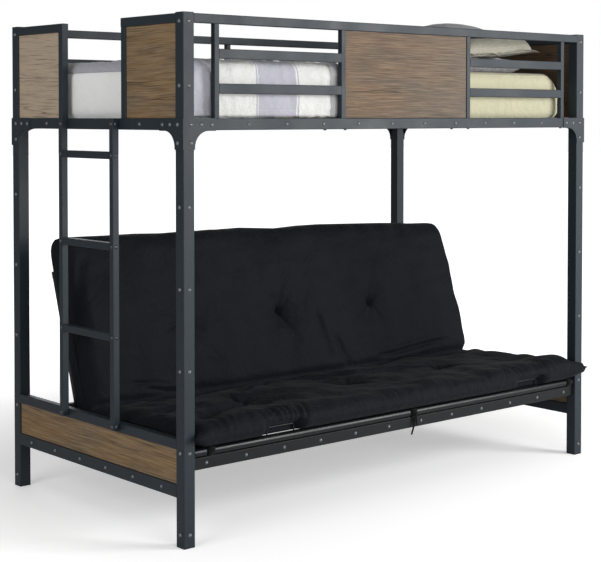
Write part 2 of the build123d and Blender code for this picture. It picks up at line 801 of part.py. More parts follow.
def up_back(x, along, ahead=0.0):
    """Plane square to the back at a height up it, looking up the back."""
    y, z = leaning(along, ahead)
    return Plane(origin=(x, y, z), x_dir=(1, 0, 0), z_dir=(0, lean_sin, lean_cos))


def across_back(x, along, ahead=0.0):
    """Plane square to the length of the bed, with its first direction out of the front of the back."""
    y, z = leaning(along, ahead)
    return Plane(origin=(x, y, z), x_dir=(0, -lean_cos, lean_sin), z_dir=(1, 0, 0))


tail_y, tail_z = leaning(-tail_length, 0.0)
tube_start = -tail_length - tail_end
tube_end = back_length - futon_tube / 2 - weld_gap
guide_pin_x = (left + guide_inset - guide_pin_overhang, back_tube_x[0] + tube_wall)

with BuildPart() as back_side_tubes:
    for x_span, stub_x in ((back_tube_x, guide_pin_x), (mirrored_x(back_tube_x), mirrored_x(guide_pin_x))):
        with BuildSketch(up_back(middle(x_span), tube_start)):
            tube_section()
        extrude(amount=tube_end - tube_start)
        with BuildSketch(Plane.YZ.offset(stub_x[0])):
            with Locations((tail_y, tail_z)):
                Circle(guide_pin_radius)
        extrude(amount=width(stub_x))
    with BuildSketch(Plane.YZ.offset(left)):
        hinge_bore()
    extrude(amount=bed_length, mode=Mode.SUBTRACT)
keep(back_side_tubes, "back_side_tubes")

back_outer_x = (back_tube_x[0], mirrored_x(back_tube_x)[1])
back_inside_x = (back_tube_x[1] + weld_gap, mirrored_x(back_tube_x)[0] - weld_gap)
slat_ahead = (futon_tube - futon_slat_height) / 2

with BuildPart() as back_top_tube:
    with BuildSketch(across_back(back_outer_x[0], back_length)):
        tube_section()
    extrude(amount=width(back_outer_x))
keep(back_top_tube, "back_top_tube")

back_ends = []
for side_x in (back_tube_x, mirrored_x(back_tube_x)):
    tail_y_z = leaning(tube_start, 0.0)
    tail_plane = Plane(origin=(middle(side_x), *tail_y_z), x_dir=to_right, z_dir=(0, -lean_sin, -lean_cos))
    back_ends.append((tail_plane, futon_tube, futon_tube))
for end_x, way in ((back_outer_x[0], to_left), (back_outer_x[1], to_right)):
    top_plane = Plane(origin=(end_x, *leaning(back_length, 0.0)), x_dir=(0, -lean_cos, lean_sin), z_dir=way)
    back_ends.append((top_plane, futon_tube, futon_tube))
end_plates("back_end_plates", back_ends)

back_slat_pitch = (back_length - back_slat_first) / back_slat_count
with BuildPart() as back_slats:
    for step in range(back_slat_count):
        with BuildSketch(across_back(back_inside_x[0], back_slat_first + step * back_slat_pitch, slat_ahead)):
            RectangleRounded(futon_slat_height, futon_slat_width, tube_corner)
            RectangleRounded(
                futon_slat_height - 2 * tube_wall,
                futon_slat_width - 2 * tube_wall,
                tube_corner - tube_wall,
                mode=Mode.SUBTRACT,
            )
        extrude(amount=width(back_inside_x))
keep(back_slats, "back_slats")

centre_depth = futon_tube - futon_slat_height
centre_start = back_slat_first - futon_slat_width
with BuildPart() as back_centre_tube:
    with BuildSketch(up_back(middle_x, centre_start, -futon_slat_height / 2)):
        RectangleRounded(futon_tube, centre_depth, tube_corner)
        RectangleRounded(
            futon_tube - 2 * tube_wall,
            centre_depth - 2 * tube_wall,
            tube_corner - tube_wall,
            mode=Mode.SUBTRACT,
        )
    extrude(amount=tube_end - centre_start)
keep(back_centre_tube, "back_centre_tube")

# Slotted plates that steer the tails of the back, so that it folds down as the seat comes forwards


def tail_place(share):
    """Side view place of the guide pin when the seat has moved by a share of its travel."""
    angle = radians(recline + share * fold_travel)
    y = hinge_line - share * seat_travel - tail_length * sin(angle)
    return y, hinge_z - tail_length * cos(angle)


slot_ends = (tail_place(0.0), tail_place(1.0))
slot_line = ThreePointArc(slot_ends[0], tail_place(0.5), slot_ends[1])
plate_reach = guide_pin_radius + guide_margin
plate_y = (slot_ends[1][0] - plate_reach, slot_ends[0][0] + plate_reach)
plate_z = (guide_bottom, deck_top - guide_below_deck)
guide_x = (left + guide_inset, left + guide_inset + guide_thickness)
with BuildPart() as guide_plates:
    for x_span in (guide_x, mirrored_x(guide_x)):
        with BuildSketch(Plane.YZ.offset(x_span[0])):
            with Locations((middle(plate_y), middle(plate_z))):
                Rectangle(width(plate_y), width(plate_z))
            SlotArc(slot_line, 2 * (guide_pin_radius + slot_clearance), mode=Mode.SUBTRACT)
        extrude(amount=guide_thickness)
keep(guide_plates, "guide_plates")

spacer_x = (left_rail_x[1], guide_x[0])
spacer_pitch = (width(plate_y) - 4 * spacer_radius) / (spacer_count - 1)
spacer_places = centred(spacer_count, spacer_pitch, middle(plate_y))
with BuildPart() as guide_spacers:
    for x_span in (spacer_x, mirrored_x(spacer_x)):
        with BuildSketch(Plane.YZ.offset(x_span[0])):
            with Locations(*[(y, middle(lower_bottom_z)) for y in spacer_places]):
                Circle(spacer_radius)
        extrude(amount=width(x_span))
keep(guide_spacers, "guide_spacers")

# Futon mattress, in two halves that meet at the crease
mattress_x = (inner_left + mattress_end_gap, inner_right - mattress_end_gap)
bottom_z = deck_top + cushion_gap
# Each station: its distance from an end as a share of the half length, and how full the mattress is there
station_shares = ((0.0, 0.55), (0.012, 0.80), (0.045, 0.95), (0.16, 1.0))
half_length = width(mattress_x) / 2
near_stations = [(mattress_x[0] + away * half_length, full) for away, full in station_shares]
stations = near_stations + [(2 * middle_x - x, full) for x, full in reversed(near_stations)]


def seat_outline(full):
    """Side view of the seat half: flat below, a round nose, a crowned top and the crease."""

    def lifted(z):
        return bottom_z + (z - bottom_z) * full

    nose_start = (front + nose_start_y, bottom_z)
    nose_middle = (front + nose_start_y - (nose_start_y + nose_reach) * full, lifted(nose_middle_height))
    nose_end = (front + nose_top_y, lifted(nose_top_height))
    crease = (front + crease_y, lifted(crease_height))
    heel = (hinge_line - seat_heel, bottom_z)
    Line(heel, nose_start)
    ThreePointArc(nose_start, nose_middle, nose_end)
    ThreePointArc(nose_end, (front + seat_crown_y, lifted(seat_crown_height)), crease)
    Line(crease, heel)


def back_outline(full):
    """Side view of the back half: flat on the slats, a crowned face, a round top and the crease."""
    flat = futon_tube / 2 + cushion_gap

    def thick(size):
        return flat + (size - flat) * full

    foot = leaning(back_foot, flat)
    heel = leaning(back_shoulder, flat)
    rim = leaning(back_shoulder + (back_rim_along - back_shoulder) * full, thick(back_rim_thickness))
    top = leaning(back_shoulder + (back_top_along - back_shoulder) * full, thick(back_top_thickness))
    brow = leaning(back_shoulder + (back_brow_along - back_shoulder) * full, thick(back_brow_thickness))
    shoulder = leaning(back_shoulder, thick(back_shoulder_thickness))
    crown = leaning(back_crown_along, thick(back_crown_thickness))
    crease = leaning(back_crease_along, thick(back_crease_thickness))
    Line(foot, heel)
    ThreePointArc(heel, rim, top)
    ThreePointArc(top, brow, shoulder)
    ThreePointArc(shoulder, crown, crease)
    Line(crease, foot)


tuft_x = centred(3, tuft_pitch, middle_x)
corner_y = (front - corner_reach, front - nose_gap)
corner_z = (corner_bottom, corner_top)
# Each station of a front corner: its place along the corner and its size, as shares
corner_shares = ((0.0, 0.55), (0.12, 0.84), (0.34, 1.0), (1.0, 0.9))

with BuildPart() as front_corners:
    for end_x, inward in ((inner_left - corner_overlap, 1), (inner_right + corner_overlap, -1)):
        for away, full in corner_shares:
            with BuildSketch(Plane.YZ.offset(end_x + inward * away * corner_length)):
                with Locations((middle(corner_y), middle(corner_z))):
                    RectangleRounded(width(corner_y) * full, width(corner_z) * full, corner_round * full)
        loft(ruled=True)

with BuildPart() as futon_seat_mattress:
    for station_x, full in stations:
        with BuildSketch(Plane.YZ.offset(station_x)):
            with BuildLine():
                seat_outline(full)
            make_face()
    loft(ruled=True)
    add(front_corners.part)
    with Locations(*[(x, front + seat_tuft_y, seat_tuft_height - tuft_depth + tuft_radius) for x in tuft_x]):
        Sphere(tuft_radius, mode=Mode.SUBTRACT)
    for x_span in keep_spans:
        pocket_x = (x_span[0] - keep_pocket, x_span[1] + keep_pocket)
        pocket_y = (front - corner_reach, keep_y + wire_radius + keep_pocket)
        with BuildSketch(Plane.XY.offset(deck_top)):
            with Locations((middle(pocket_x), middle(pocket_y))):
                Rectangle(width(pocket_x), width(pocket_y))
        extrude(amount=keep_height + keep_pocket, mode=Mode.SUBTRACT)
keep(futon_seat_mattress, "futon_seat_mattress")

back_tuft = leaning(back_tuft_along, back_crown_thickness - tuft_depth + tuft_radius)
with BuildPart() as futon_back_mattress:
    for station_x, full in stations:
        with BuildSketch(Plane.YZ.offset(station_x)):
            with BuildLine():
                back_outline(full)
            make_face()
    loft(ruled=True)
    with Locations(*[(x, back_tuft[0], back_tuft[1]) for x in tuft_x]):
        Sphere(tuft_radius, mode=Mode.SUBTRACT)
keep(futon_back_mattress, "futon_back_mattress")

# Ties that hold the mattress to the front tube, each a band over the front of the tube, with loose tails
tie_inner = front_tube_radius + pin_clearance
tie_outer = tie_inner + tie_thickness
tie_band_height = 2 * tie_outer * sin(radians(tie_band_half_angle))
tie_x = (left + tie_left_inset, middle_x + tie_middle_offset, right - tie_right_inset)
tail_face_y = front_tube_centre[0] - tie_outer
with BuildPart() as mattress_ties:
    for centre_x in tie_x:
        with BuildSketch(Plane.YZ.offset(centre_x - tie_width / 2)):
            with Locations(front_tube_centre):
                Circle(tie_outer)
                Circle(tie_inner, mode=Mode.SUBTRACT)
            with Locations((tail_face_y, front_tube_z)):
                Rectangle(tie_outer, tie_band_height, mode=Mode.INTERSECT)
        extrude(amount=tie_width)
    for side, length in zip((-1, 1), tie_tail_lengths):
        with BuildSketch(Plane.XY.offset(front_tube_z)):
            with Locations((tie_x[1] + side * tie_tail_width, tail_face_y)):
                Rectangle(tie_tail_width, tie_thickness)
        extrude(amount=-length)
keep(mattress_ties, "mattress_ties")

# Upper mattress and its cover
upper_x = (left + mattress_foot_gap, right - mattress_head_gap)
upper_y = (front + mattress_side_gap, back - mattress_side_gap)
upper_z = (slat_z[1], slat_z[1] + mattress_height)
with BuildPart() as upper_mattress:
    with BuildSketch(Plane.XY.offset(upper_z[0])):
        with Locations((middle(upper_x), middle(upper_y))):
            RectangleRounded(width(upper_x), width(upper_y), mattress_corner)
    extrude(amount=mattress_height)
    fillet(upper_mattress.faces().sort_by(Axis.Z)[-1].edges(), mattress_edge)
keep(upper_mattress, "upper_mattress")

cover_inner_y = (upper_y[0] - cushion_gap, upper_y[1] + cushion_gap)
cover_outer_y = (cover_inner_y[0] - comforter_side, cover_inner_y[1] + comforter_side)
cover_inner_top = upper_z[1] + cushion_gap
cover_z = (cover_inner_top - comforter_hang, cover_inner_top + comforter_top)
with BuildPart() as comforter:
    with BuildSketch(Plane.YZ.offset(left + comforter_start)):
        with BuildLine():
            Polyline(
                (cover_outer_y[0], cover_z[1] - comforter_edge),
                (cover_outer_y[0], cover_z[0]),
                (cover_inner_y[0], cover_z[0]),
                (cover_inner_y[0], cover_inner_top),
                (cover_inner_y[1], cover_inner_top),
                (cover_inner_y[1], cover_z[0]),
                (cover_outer_y[1], cover_z[0]),
                (cover_outer_y[1], cover_z[1] - comforter_edge),
            )
            RadiusArc(
                (cover_outer_y[1], cover_z[1] - comforter_edge),
                (cover_outer_y[1] - comforter_edge, cover_z[1]),
                -comforter_edge,
            )
            Line(
                (cover_outer_y[1] - comforter_edge, cover_z[1]),
                (cover_outer_y[0] + comforter_edge, cover_z[1]),
            )
            RadiusArc(
                (cover_outer_y[0] + comforter_edge, cover_z[1]),
                (cover_outer_y[0], cover_z[1] - comforter_edge),
                -comforter_edge,
            )
        make_face()
    extrude(amount=panel_stile_x[1] + comforter_tuck - left - comforter_start)
keep(comforter, "comforter")

# Three pillows, stacked at the head: crowned faces that meet at a thin sewn edge all round
pillow_bottom = upper_z[1] + pillow_gap
for pillow_name, head_gap, front_gap, pillow_size in pillows:
    depth, length, thickness = pillow_size
    pillow_centre = (right - head_gap - depth / 2, front + front_gap + length / 2)
    with BuildPart() as pillow:
        for rise, spread in pillow_rise_shares:
            with BuildSketch(Plane.XY.offset(pillow_bottom + (1 + rise) * thickness / 2)):
                with Locations(pillow_centre):
                    RectangleRounded(depth * spread, length * spread, pillow_corner * spread)
        loft(ruled=True)
    keep(pillow, pillow_name)
    pillow_bottom += thickness + pillow_gap

for finished in nodes:
    export_step(finished.part, f"parts/{finished.part.label}.step")
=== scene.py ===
"""Looks of the loft bed with a futon below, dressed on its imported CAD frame.

Metres, +Z up, +X along the bed from the ladder end, +Y from the front to the back.
Measured places are given in millimetres as t along the bed, s back from the front face and z up.
"""
import logging
import math
from collections.abc import Callable
from dataclasses import dataclass
from enum import Enum

import bmesh
import bpy
import numpy as np
from mathutils import Euler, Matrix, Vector


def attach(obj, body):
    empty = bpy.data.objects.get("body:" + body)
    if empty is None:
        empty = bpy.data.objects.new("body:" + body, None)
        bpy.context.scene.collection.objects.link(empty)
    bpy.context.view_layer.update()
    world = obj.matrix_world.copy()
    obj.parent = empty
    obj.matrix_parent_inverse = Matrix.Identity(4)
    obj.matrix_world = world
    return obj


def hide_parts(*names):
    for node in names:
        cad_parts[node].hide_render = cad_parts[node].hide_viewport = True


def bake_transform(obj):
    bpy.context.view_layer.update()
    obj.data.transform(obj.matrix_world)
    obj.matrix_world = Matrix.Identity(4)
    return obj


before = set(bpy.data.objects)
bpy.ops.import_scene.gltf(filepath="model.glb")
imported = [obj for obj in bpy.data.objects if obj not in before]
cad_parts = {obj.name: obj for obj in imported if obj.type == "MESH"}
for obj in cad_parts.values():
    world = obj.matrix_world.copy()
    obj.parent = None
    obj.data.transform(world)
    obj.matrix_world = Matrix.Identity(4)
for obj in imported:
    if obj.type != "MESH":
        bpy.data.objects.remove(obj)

LOG = logging.getLogger("loft_bed")

Colour = tuple[float, float, float]
Pair = tuple[float, float]
Triple = tuple[float, float, float]

PER_METRE = 1000
LEFT_FACE = 984.0
FRONT_FACE = 516.25

# The futon back's hinge line as s and z, and how far the back leans from upright
HINGE: Pair = (711.0, 297.0)
RECLINE = math.radians(18.0)
RECLINE_COS, RECLINE_SIN = math.cos(RECLINE), math.sin(RECLINE)

# How closely smooth lines and the stations of padded pieces are sampled
STEPS_PER_RUN = 24
DENSITY_SAMPLES = 4000
END_ROWS = 7
BUSY_GAIN = 1.2
BUSY_REACH = 80.0
TINY = 1e-9

# In metres: points this close are one point, in a seam or in a CAD mesh, and what counts as no area
SEAM_GAP = 2e-5
CAD_GAP = 1e-5
SLIVER = 1e-6

# The values between which nearly all of a noise pattern lies
NOISE_SPAN: Pair = (0.3, 0.7)


def linear(red: int, green: int, blue: int) -> Colour:
    """Turns a colour written in screen values into the values that a shader takes.

    Args:
        red: Red from 0 to 255.
        green: Green from 0 to 255.
        blue: Blue from 0 to 255.

    Returns:
        The colour in linear values from 0 to 1.
    """
    shares = [value / 255 for value in (red, green, blue)]
    return tuple(s / 12.92 if s <= 0.04045 else ((s + 0.055) / 1.055) ** 2.4 for s in shares)


def metres(t: np.ndarray, s: np.ndarray, z: np.ndarray) -> np.ndarray:
    """Stacks measured millimetres into places in the part's frame.

    Args:
        t: Distances along the bed from its left face.
        s: Distances back from its front face.
        z: Heights.

    Returns:
        The places in metres, with x, y and z as the last axis.
    """
    return np.stack(np.broadcast_arrays(t - LEFT_FACE, s - FRONT_FACE, z), axis=-1) / PER_METRE


def leaning(along: float, ahead: float) -> Pair:
    """Gives the side view place of a point of the futon back.

    Args:
        along: Distance up the back from the hinge.
        ahead: Distance in front of the hinge line.

    Returns:
        The place as s and z.
    """
    s = HINGE[0] + along * RECLINE_SIN - ahead * RECLINE_COS
    return s, HINGE[1] + along * RECLINE_COS + ahead * RECLINE_SIN


def smooth_step(value: np.ndarray) -> np.ndarray:
    """Eases values from 0 to 1, and holds them there outside that range."""
    share = np.clip(value, 0.0, 1.0)
    return share * share * (3 - 2 * share)


def run_lengths(points: np.ndarray) -> np.ndarray:
    """Gives how far along a line each of its points lies."""
    return np.concatenate([[0], np.cumsum(np.linalg.norm(np.diff(points, axis=0), axis=1))])


def smooth_path(corners: list[Pair], count: int) -> np.ndarray:
    """Runs a smooth line through points at even steps of its length.

    Args:
        corners: The points that it goes through.
        count: How many points to give back.

    Returns:
        The points of the line, one in each row.
    """
    points = np.array(corners, float)
    padded = np.vstack([2 * points[0] - points[1], points, 2 * points[-1] - points[-2]])
    shares = np.linspace(0, 1, STEPS_PER_RUN, endpoint=False)[:, None]
    runs = []
    for before, start, end, after in zip(padded, padded[1:], padded[2:], padded[3:]):
        reach = np.linalg.norm(end - start)
        lean_in = (end - before) * reach / (np.linalg.norm(end - before) + TINY)
        lean_out = (after - start) * reach / (np.linalg.norm(after - start) + TINY)
        square, cube = shares**2, shares**3
        runs.append(
            (2 * cube - 3 * square + 1) * start
            + (cube - 2 * square + shares) * lean_in
            + (3 * square - 2 * cube) * end
            + (cube - square) * lean_out
        )
    fine = np.vstack([*runs, points[-1:]])
    lengths = run_lengths(fine)
    wanted = np.linspace(0, lengths[-1], count)
    return np.stack([np.interp(wanted, lengths, line) for line in fine.T], axis=1)


def end_steps(
    low: float, high: float, reach: float, step: float, busy: tuple[float, ...]
) -> tuple[np.ndarray, np.ndarray]:
    """Spaces the stations of a padded piece, closer where its ends turn in and near busy places.

    Args:
        low: The first station.
        high: The last station.
        reach: How far from each end the piece is full.
        step: Distance between the stations that are full.
        busy: Stations that need closer steps around them.

    Returns:
        The stations, and how full the piece is at each, from 0 to 1.
    """
    angles = np.linspace(0, math.pi / 2, END_ROWS, endpoint=False)
    near = reach * (1 - np.cos(angles))
    fine = np.linspace(low + reach, high - reach, DENSITY_SAMPLES)
    density = np.full(DENSITY_SAMPLES, 1 / step)
    for centre in busy:
        density += BUSY_GAIN / step * np.exp(-(((fine - centre) / BUSY_REACH) ** 4))
    total = np.concatenate([[0], np.cumsum((density[1:] + density[:-1]) / 2 * np.diff(fine))])
    middle = np.interp(np.linspace(0, total[-1], max(int(total[-1]), 2)), total, fine)
    stations = np.concatenate([low + near, middle, (high - near)[::-1]])
    inside = np.clip(np.minimum(stations - low, high - stations) / reach, 0, 1)
    return stations, np.sqrt(1 - (1 - inside) ** 2)


@dataclass(frozen=True)
class Ripples:
    """Soft unevenness from a few seeded waves, for cloth that isn't quite flat."""

    seed: int
    wavelength: float
    count: int = 14
    stretches: Pair = (0.6, 1.7)

    def height(self, first: np.ndarray, second: np.ndarray) -> np.ndarray:
        """Gives the height of the waves, from about -1 to 1.

        Args:
            first: Distances in one direction of the cloth.
            second: Distances in the other direction.

        Returns:
            The heights, in the shape of what was given.
        """
        chance = np.random.default_rng(self.seed)
        total = np.zeros(np.broadcast(first, second).shape)
        for turn, phase, stretch in zip(
            chance.uniform(0, math.pi, self.count),
            chance.uniform(0, 2 * math.pi, self.count),
            chance.uniform(*self.stretches, self.count),
        ):
            pitch = 2 * math.pi / (self.wavelength * stretch)
            ahead = first * math.cos(turn) + second * math.sin(turn)
            total = total + np.sin(pitch * ahead + phase)
        return total / math.sqrt(self.count)


@dataclass(frozen=True)
class Fold:
    """A crease pressed along a bent line of the cloth, with a ridge at its side."""

    line: tuple[Pair, ...]
    depth: float
    width: float
    ridge: float
    ridge_offset: float = 1.9
    ridge_width: float = 1.2
    ridge_reach: float = 4.0
    fading_share: float = 0.25

    def depth_at(self, first: np.ndarray, second: np.ndarray) -> np.ndarray:
        """Gives how far the cloth is pressed in.

        Args:
            first: Distances in one direction of the cloth.
            second: Distances in the other direction.

        Returns:
            The depths, which fade towards both ends of the line.
        """
        nearest = np.full(np.broadcast(first, second).shape, 1e9)
        share = np.zeros_like(nearest)
        side = np.zeros_like(nearest)
        line = np.array(self.line, float)
        lengths = run_lengths(line)
        for start, end, before, after in zip(line, line[1:], lengths, lengths[1:]):
            run = end - start
            reach = after - before
            along = (first - start[0]) * run[0] + (second - start[1]) * run[1]
            along = np.clip(along / reach**2, 0, 1)
            away_first = first - start[0] - along * run[0]
            away_second = second - start[1] - along * run[1]
            away = np.hypot(away_first, away_second)
            closer = away < nearest
            nearest = np.where(closer, away, nearest)
            share = np.where(closer, (before + along * reach) / lengths[-1], share)
            across = (away_first * -run[1] + away_second * run[0]) / reach
            side = np.where(closer, across, side)
        fade = smooth_step(share / self.fading_share) * smooth_step((1 - share) / self.fading_share)
        valley = np.exp(-((nearest / self.width) ** 2))
        beside = (side - self.ridge_offset * self.width) / (self.ridge_width * self.width)
        ridge = self.ridge * np.exp(-(beside**2))
        near_line = np.exp(-((nearest / (self.ridge_reach * self.width)) ** 2))
        return self.depth * fade * (valley - ridge * near_line)


@dataclass(frozen=True)
class Tuft:
    """A tie sewn through the padding, with short creases that run out from it."""

    t: float
    along: float
    depth: float
    reach: float
    creases: int
    seed: int
    dimple: float = 0.9
    dimple_reach: float = 13.0
    crease_turn: float = 0.25
    crease_reaches: Pair = (0.5, 1.5)
    crease_depths: Pair = (5.0, 10.0)
    crease_start: float = 10.0
    crease_width: float = 3.5
    crease_spread: float = 0.07

    def depth_at(self, first: np.ndarray, second: np.ndarray) -> np.ndarray:
        """Gives how far the tuft draws the cloth in.

        Args:
            first: Distances along the bed.
            second: Distances along the padding from its front.

        Returns:
            The depths.
        """
        chance = np.random.default_rng(self.seed)
        away_first = first - self.t
        away_second = second - self.along
        away = np.hypot(away_first, away_second)
        turn = np.arctan2(away_second, away_first)
        hollow = np.exp(-((away / self.reach) ** 1.5))
        dimple = self.dimple * np.exp(-((away / self.dimple_reach) ** 1.6))
        folds = np.zeros_like(away)
        for angle in np.linspace(-math.pi, math.pi, self.creases, endpoint=False):
            middle = angle + chance.uniform(-self.crease_turn, self.crease_turn)
            reach = self.reach * chance.uniform(*self.crease_reaches)
            off = np.angle(np.exp(1j * (turn - middle))) * away
            width = self.crease_width + self.crease_spread * away
            share = np.clip(away / self.crease_start, 0, 1) * np.exp(-((away / reach) ** 2))
            crease = np.exp(-((off / width) ** 2)) * chance.uniform(*self.crease_depths)
            folds = folds + share * crease
        return self.depth * (hollow + dimple) + folds


class Graph:
    """Adds and joins nodes in one node tree."""

    def __init__(self, tree: bpy.types.NodeTree) -> None:
        """Starts on an emptied tree.

        Args:
            tree: The tree that the nodes are added to.
        """
        self.tree = tree
        tree.nodes.clear()

    def add(self, kind: str, sockets: dict | None = None, **settings: object) -> bpy.types.Node:
        """Adds a node with its settings and what goes into it.

        Args:
            kind: The node's type name.
            sockets: Values or sockets to feed, by input name or number.
            settings: The node's own properties.

        Returns:
            The new node.
        """
        node = self.tree.nodes.new(kind)
        for name, value in settings.items():
            setattr(node, name, value)
        for key, value in (sockets or {}).items():
            self.feed(node.inputs[key], value)
        return node

    def feed(self, socket: bpy.types.NodeSocket, value: object) -> None:
        """Joins a socket to another, or sets its own value.

        Args:
            socket: The input.
            value: An output socket, a number or a row of numbers.
        """
        if isinstance(value, bpy.types.NodeSocket):
            self.tree.links.new(value, socket)
        else:
            socket.default_value = value

    def sum(self, operation: str, *values: object) -> bpy.types.NodeSocket:
        """Adds a Math node.

        Args:
            operation: The Math node's operation.
            values: Its inputs in order.

        Returns:
            The result's socket.
        """
        return self.add("ShaderNodeMath", dict(enumerate(values)), operation=operation).outputs[0]

    def mix(self, share: object, first: object, second: object) -> bpy.types.NodeSocket:
        """Mixes two colours.

        Args:
            share: How much of the second colour shows.
            first: The first colour.
            second: The second colour.

        Returns:
            The mixed colour's socket.
        """
        colours = [(*colour, 1.0) if isinstance(colour, tuple) else colour for colour in (first, second)]
        node = self.add("ShaderNodeMix", {0: share, 6: colours[0], 7: colours[1]}, data_type="RGBA")
        return node.outputs[2]

    def range(
        self, value: object, low: float, high: float, to_low: float = 0.0, to_high: float = 1.0
    ) -> bpy.types.NodeSocket:
        """Maps a range of values to another, held at its ends.

        Args:
            value: The socket to map.
            low: Start of its range.
            high: End of its range.
            to_low: What the start becomes.
            to_high: What the end becomes.

        Returns:
            The mapped value's socket.
        """
        sockets = {0: value, 1: low, 2: high, 3: to_low, 4: to_high}
        return self.add("ShaderNodeMapRange", sockets).outputs[0]

    def noise(
        self, vector: object, scale: object, detail: float = 2.0, roughness: float = 0.5
    ) -> bpy.types.NodeSocket:
        """Adds a noise pattern.

        Args:
            vector: The coordinates.
            scale: Its scale.
            detail: Its detail.
            roughness: How strong its fine parts are.

        Returns:
            The pattern's value socket.
        """
        sockets = {"Vector": vector, "Scale": scale, "Detail": detail, "Roughness": roughness}
        return self.add("ShaderNodeTexNoise", sockets).outputs[0]

    def stretched(
        self, vector: object, scale: Triple, turn: Triple = (0.0, 0.0, 0.0)
    ) -> bpy.types.NodeSocket:
        """Scales and turns coordinates.

        Args:
            vector: The coordinates.
            scale: Scale in each direction.
            turn: Turn about each axis, in radians.

        Returns:
            The changed coordinates' socket.
        """
        sockets = {"Vector": vector, "Scale": scale, "Rotation": turn}
        return self.add("ShaderNodeMapping", sockets).outputs[0]


@dataclass
class Effect:
    """A shader node group that several finishes share."""

    name: str
    inputs: dict[str, tuple[str, object]]
    outputs: tuple[str, ...]

    def start(self) -> tuple[Graph, bpy.types.Node, bpy.types.Node]:
        """Makes the group's tree with its named sockets.

        Returns:
            The tree's graph, its input node and its output node.
        """
        self.tree = bpy.data.node_groups.new(self.name, "ShaderNodeTree")
        for label, (kind, value) in self.inputs.items():
            socket = self.tree.interface.new_socket(label, in_out="INPUT", socket_type=kind)
            if value is not None:
                socket.default_value = value
        for label in self.outputs:
            self.tree.interface.new_socket(label, in_out="OUTPUT", socket_type="NodeSocketFloat")
        graph = Graph(self.tree)
        return graph, graph.add("NodeGroupInput"), graph.add("NodeGroupOutput")

    def use(self, graph: Graph, sockets: dict) -> bpy.types.Node:
        """Adds the group to a material.

        Args:
            graph: The material's graph.
            sockets: What goes into the group.

        Returns:
            The group's node.
        """
        node = graph.add("ShaderNodeGroup", node_tree=self.tree)
        for key, value in sockets.items():
            graph.feed(node.inputs[key], value)
        return node


VECTOR = ("NodeSocketVector", None)


def make_timber_grain() -> Effect:
    """Builds long streaks, cracks and worn patches that run along X.

    Returns:
        The effect, with its tone, streaks, cracks and height.
    """
    effect = Effect("timber_grain", {"Vector": VECTOR}, ("Tone", "Streak", "Crack", "Height"))
    graph, source, target = effect.start()
    place = source.outputs[0]
    sway = graph.noise(graph.stretched(place, (1.2, 2.2, 2.2)), 1.0)
    lift = graph.range(sway, *NOISE_SPAN, -0.008, 0.008)
    drift = graph.add("ShaderNodeCombineXYZ", {2: lift}).outputs[0]
    bent = graph.add("ShaderNodeVectorMath", {0: place, 1: drift}, operation="ADD").outputs[0]
    tone = graph.noise(graph.stretched(bent, (3.0, 14.0, 14.0)), 1.0, 4.0, 0.65)
    streak = graph.noise(graph.stretched(bent, (7.0, 300.0, 300.0)), 1.0, 5.0, 0.66)
    rings = graph.noise(graph.stretched(bent, (1.0, 30.0, 30.0)), 1.0)
    line = graph.sum("ABSOLUTE", graph.sum("SUBTRACT", rings, 0.5))
    patches = graph.noise(graph.stretched(place, (3.0, 16.0, 16.0)), 1.0, 1.0)
    cracked = graph.range(patches, 0.52, 0.62)
    crack = graph.sum("MULTIPLY", graph.range(line, 0.003, 0.012, 1.0, 0.0), cracked)
    fine = graph.sum("MULTIPLY", streak, 0.6)
    height = graph.sum("SUBTRACT", fine, graph.sum("MULTIPLY", crack, 0.9))
    for label, socket in (("Tone", tone), ("Streak", streak), ("Crack", crack), ("Height", height)):
        graph.feed(target.inputs[label], socket)
    return effect


def make_coat() -> Effect:
    """Builds the fine orange peel, dust and rubbed patches of a powder coat.

    Returns:
        The effect, with its tone, rub and height.
    """
    effect = Effect("powder_coat", {"Vector": VECTOR}, ("Tone", "Rub", "Height"))
    graph, source, target = effect.start()
    place = source.outputs[0]
    graph.feed(target.inputs["Tone"], graph.noise(place, 7.0, 3.0, 0.6))
    graph.feed(target.inputs["Rub"], graph.range(graph.noise(place, 55.0, 5.0, 0.7), 0.55, 0.75))
    graph.feed(target.inputs["Height"], graph.noise(place, 900.0))
    return effect


def make_weave() -> Effect:
    """Builds over and under threads from a cloth map laid out in metres.

    Returns:
        The effect, with its height and its fleck.
    """
    inputs = {"Vector": VECTOR, "Threads": ("NodeSocketFloat", 900.0)}
    effect = Effect("plain_weave", inputs, ("Height", "Fleck"))
    graph, source, target = effect.start()
    place, threads = source.outputs[0], source.outputs[1]
    parts = graph.add("ShaderNodeSeparateXYZ", {0: place})
    turns = graph.sum("MULTIPLY", threads, math.pi)
    across = graph.sum("SINE", graph.sum("MULTIPLY", parts.outputs[0], turns))
    down = graph.sum("SINE", graph.sum("MULTIPLY", parts.outputs[1], turns))
    over = graph.sum("MULTIPLY", across, down)
    yarn = graph.noise(graph.stretched(place, (40.0, 600.0, 1.0)), 1.0)
    pick = graph.noise(graph.stretched(place, (600.0, 40.0, 1.0)), 1.0)
    fleck = graph.sum("MULTIPLY", graph.sum("ADD", yarn, pick), 0.5)
    height = graph.sum("ADD", graph.sum("MULTIPLY", over, 0.35), fleck)
    graph.feed(target.inputs["Height"], height)
    graph.feed(target.inputs["Fleck"], fleck)
    return effect


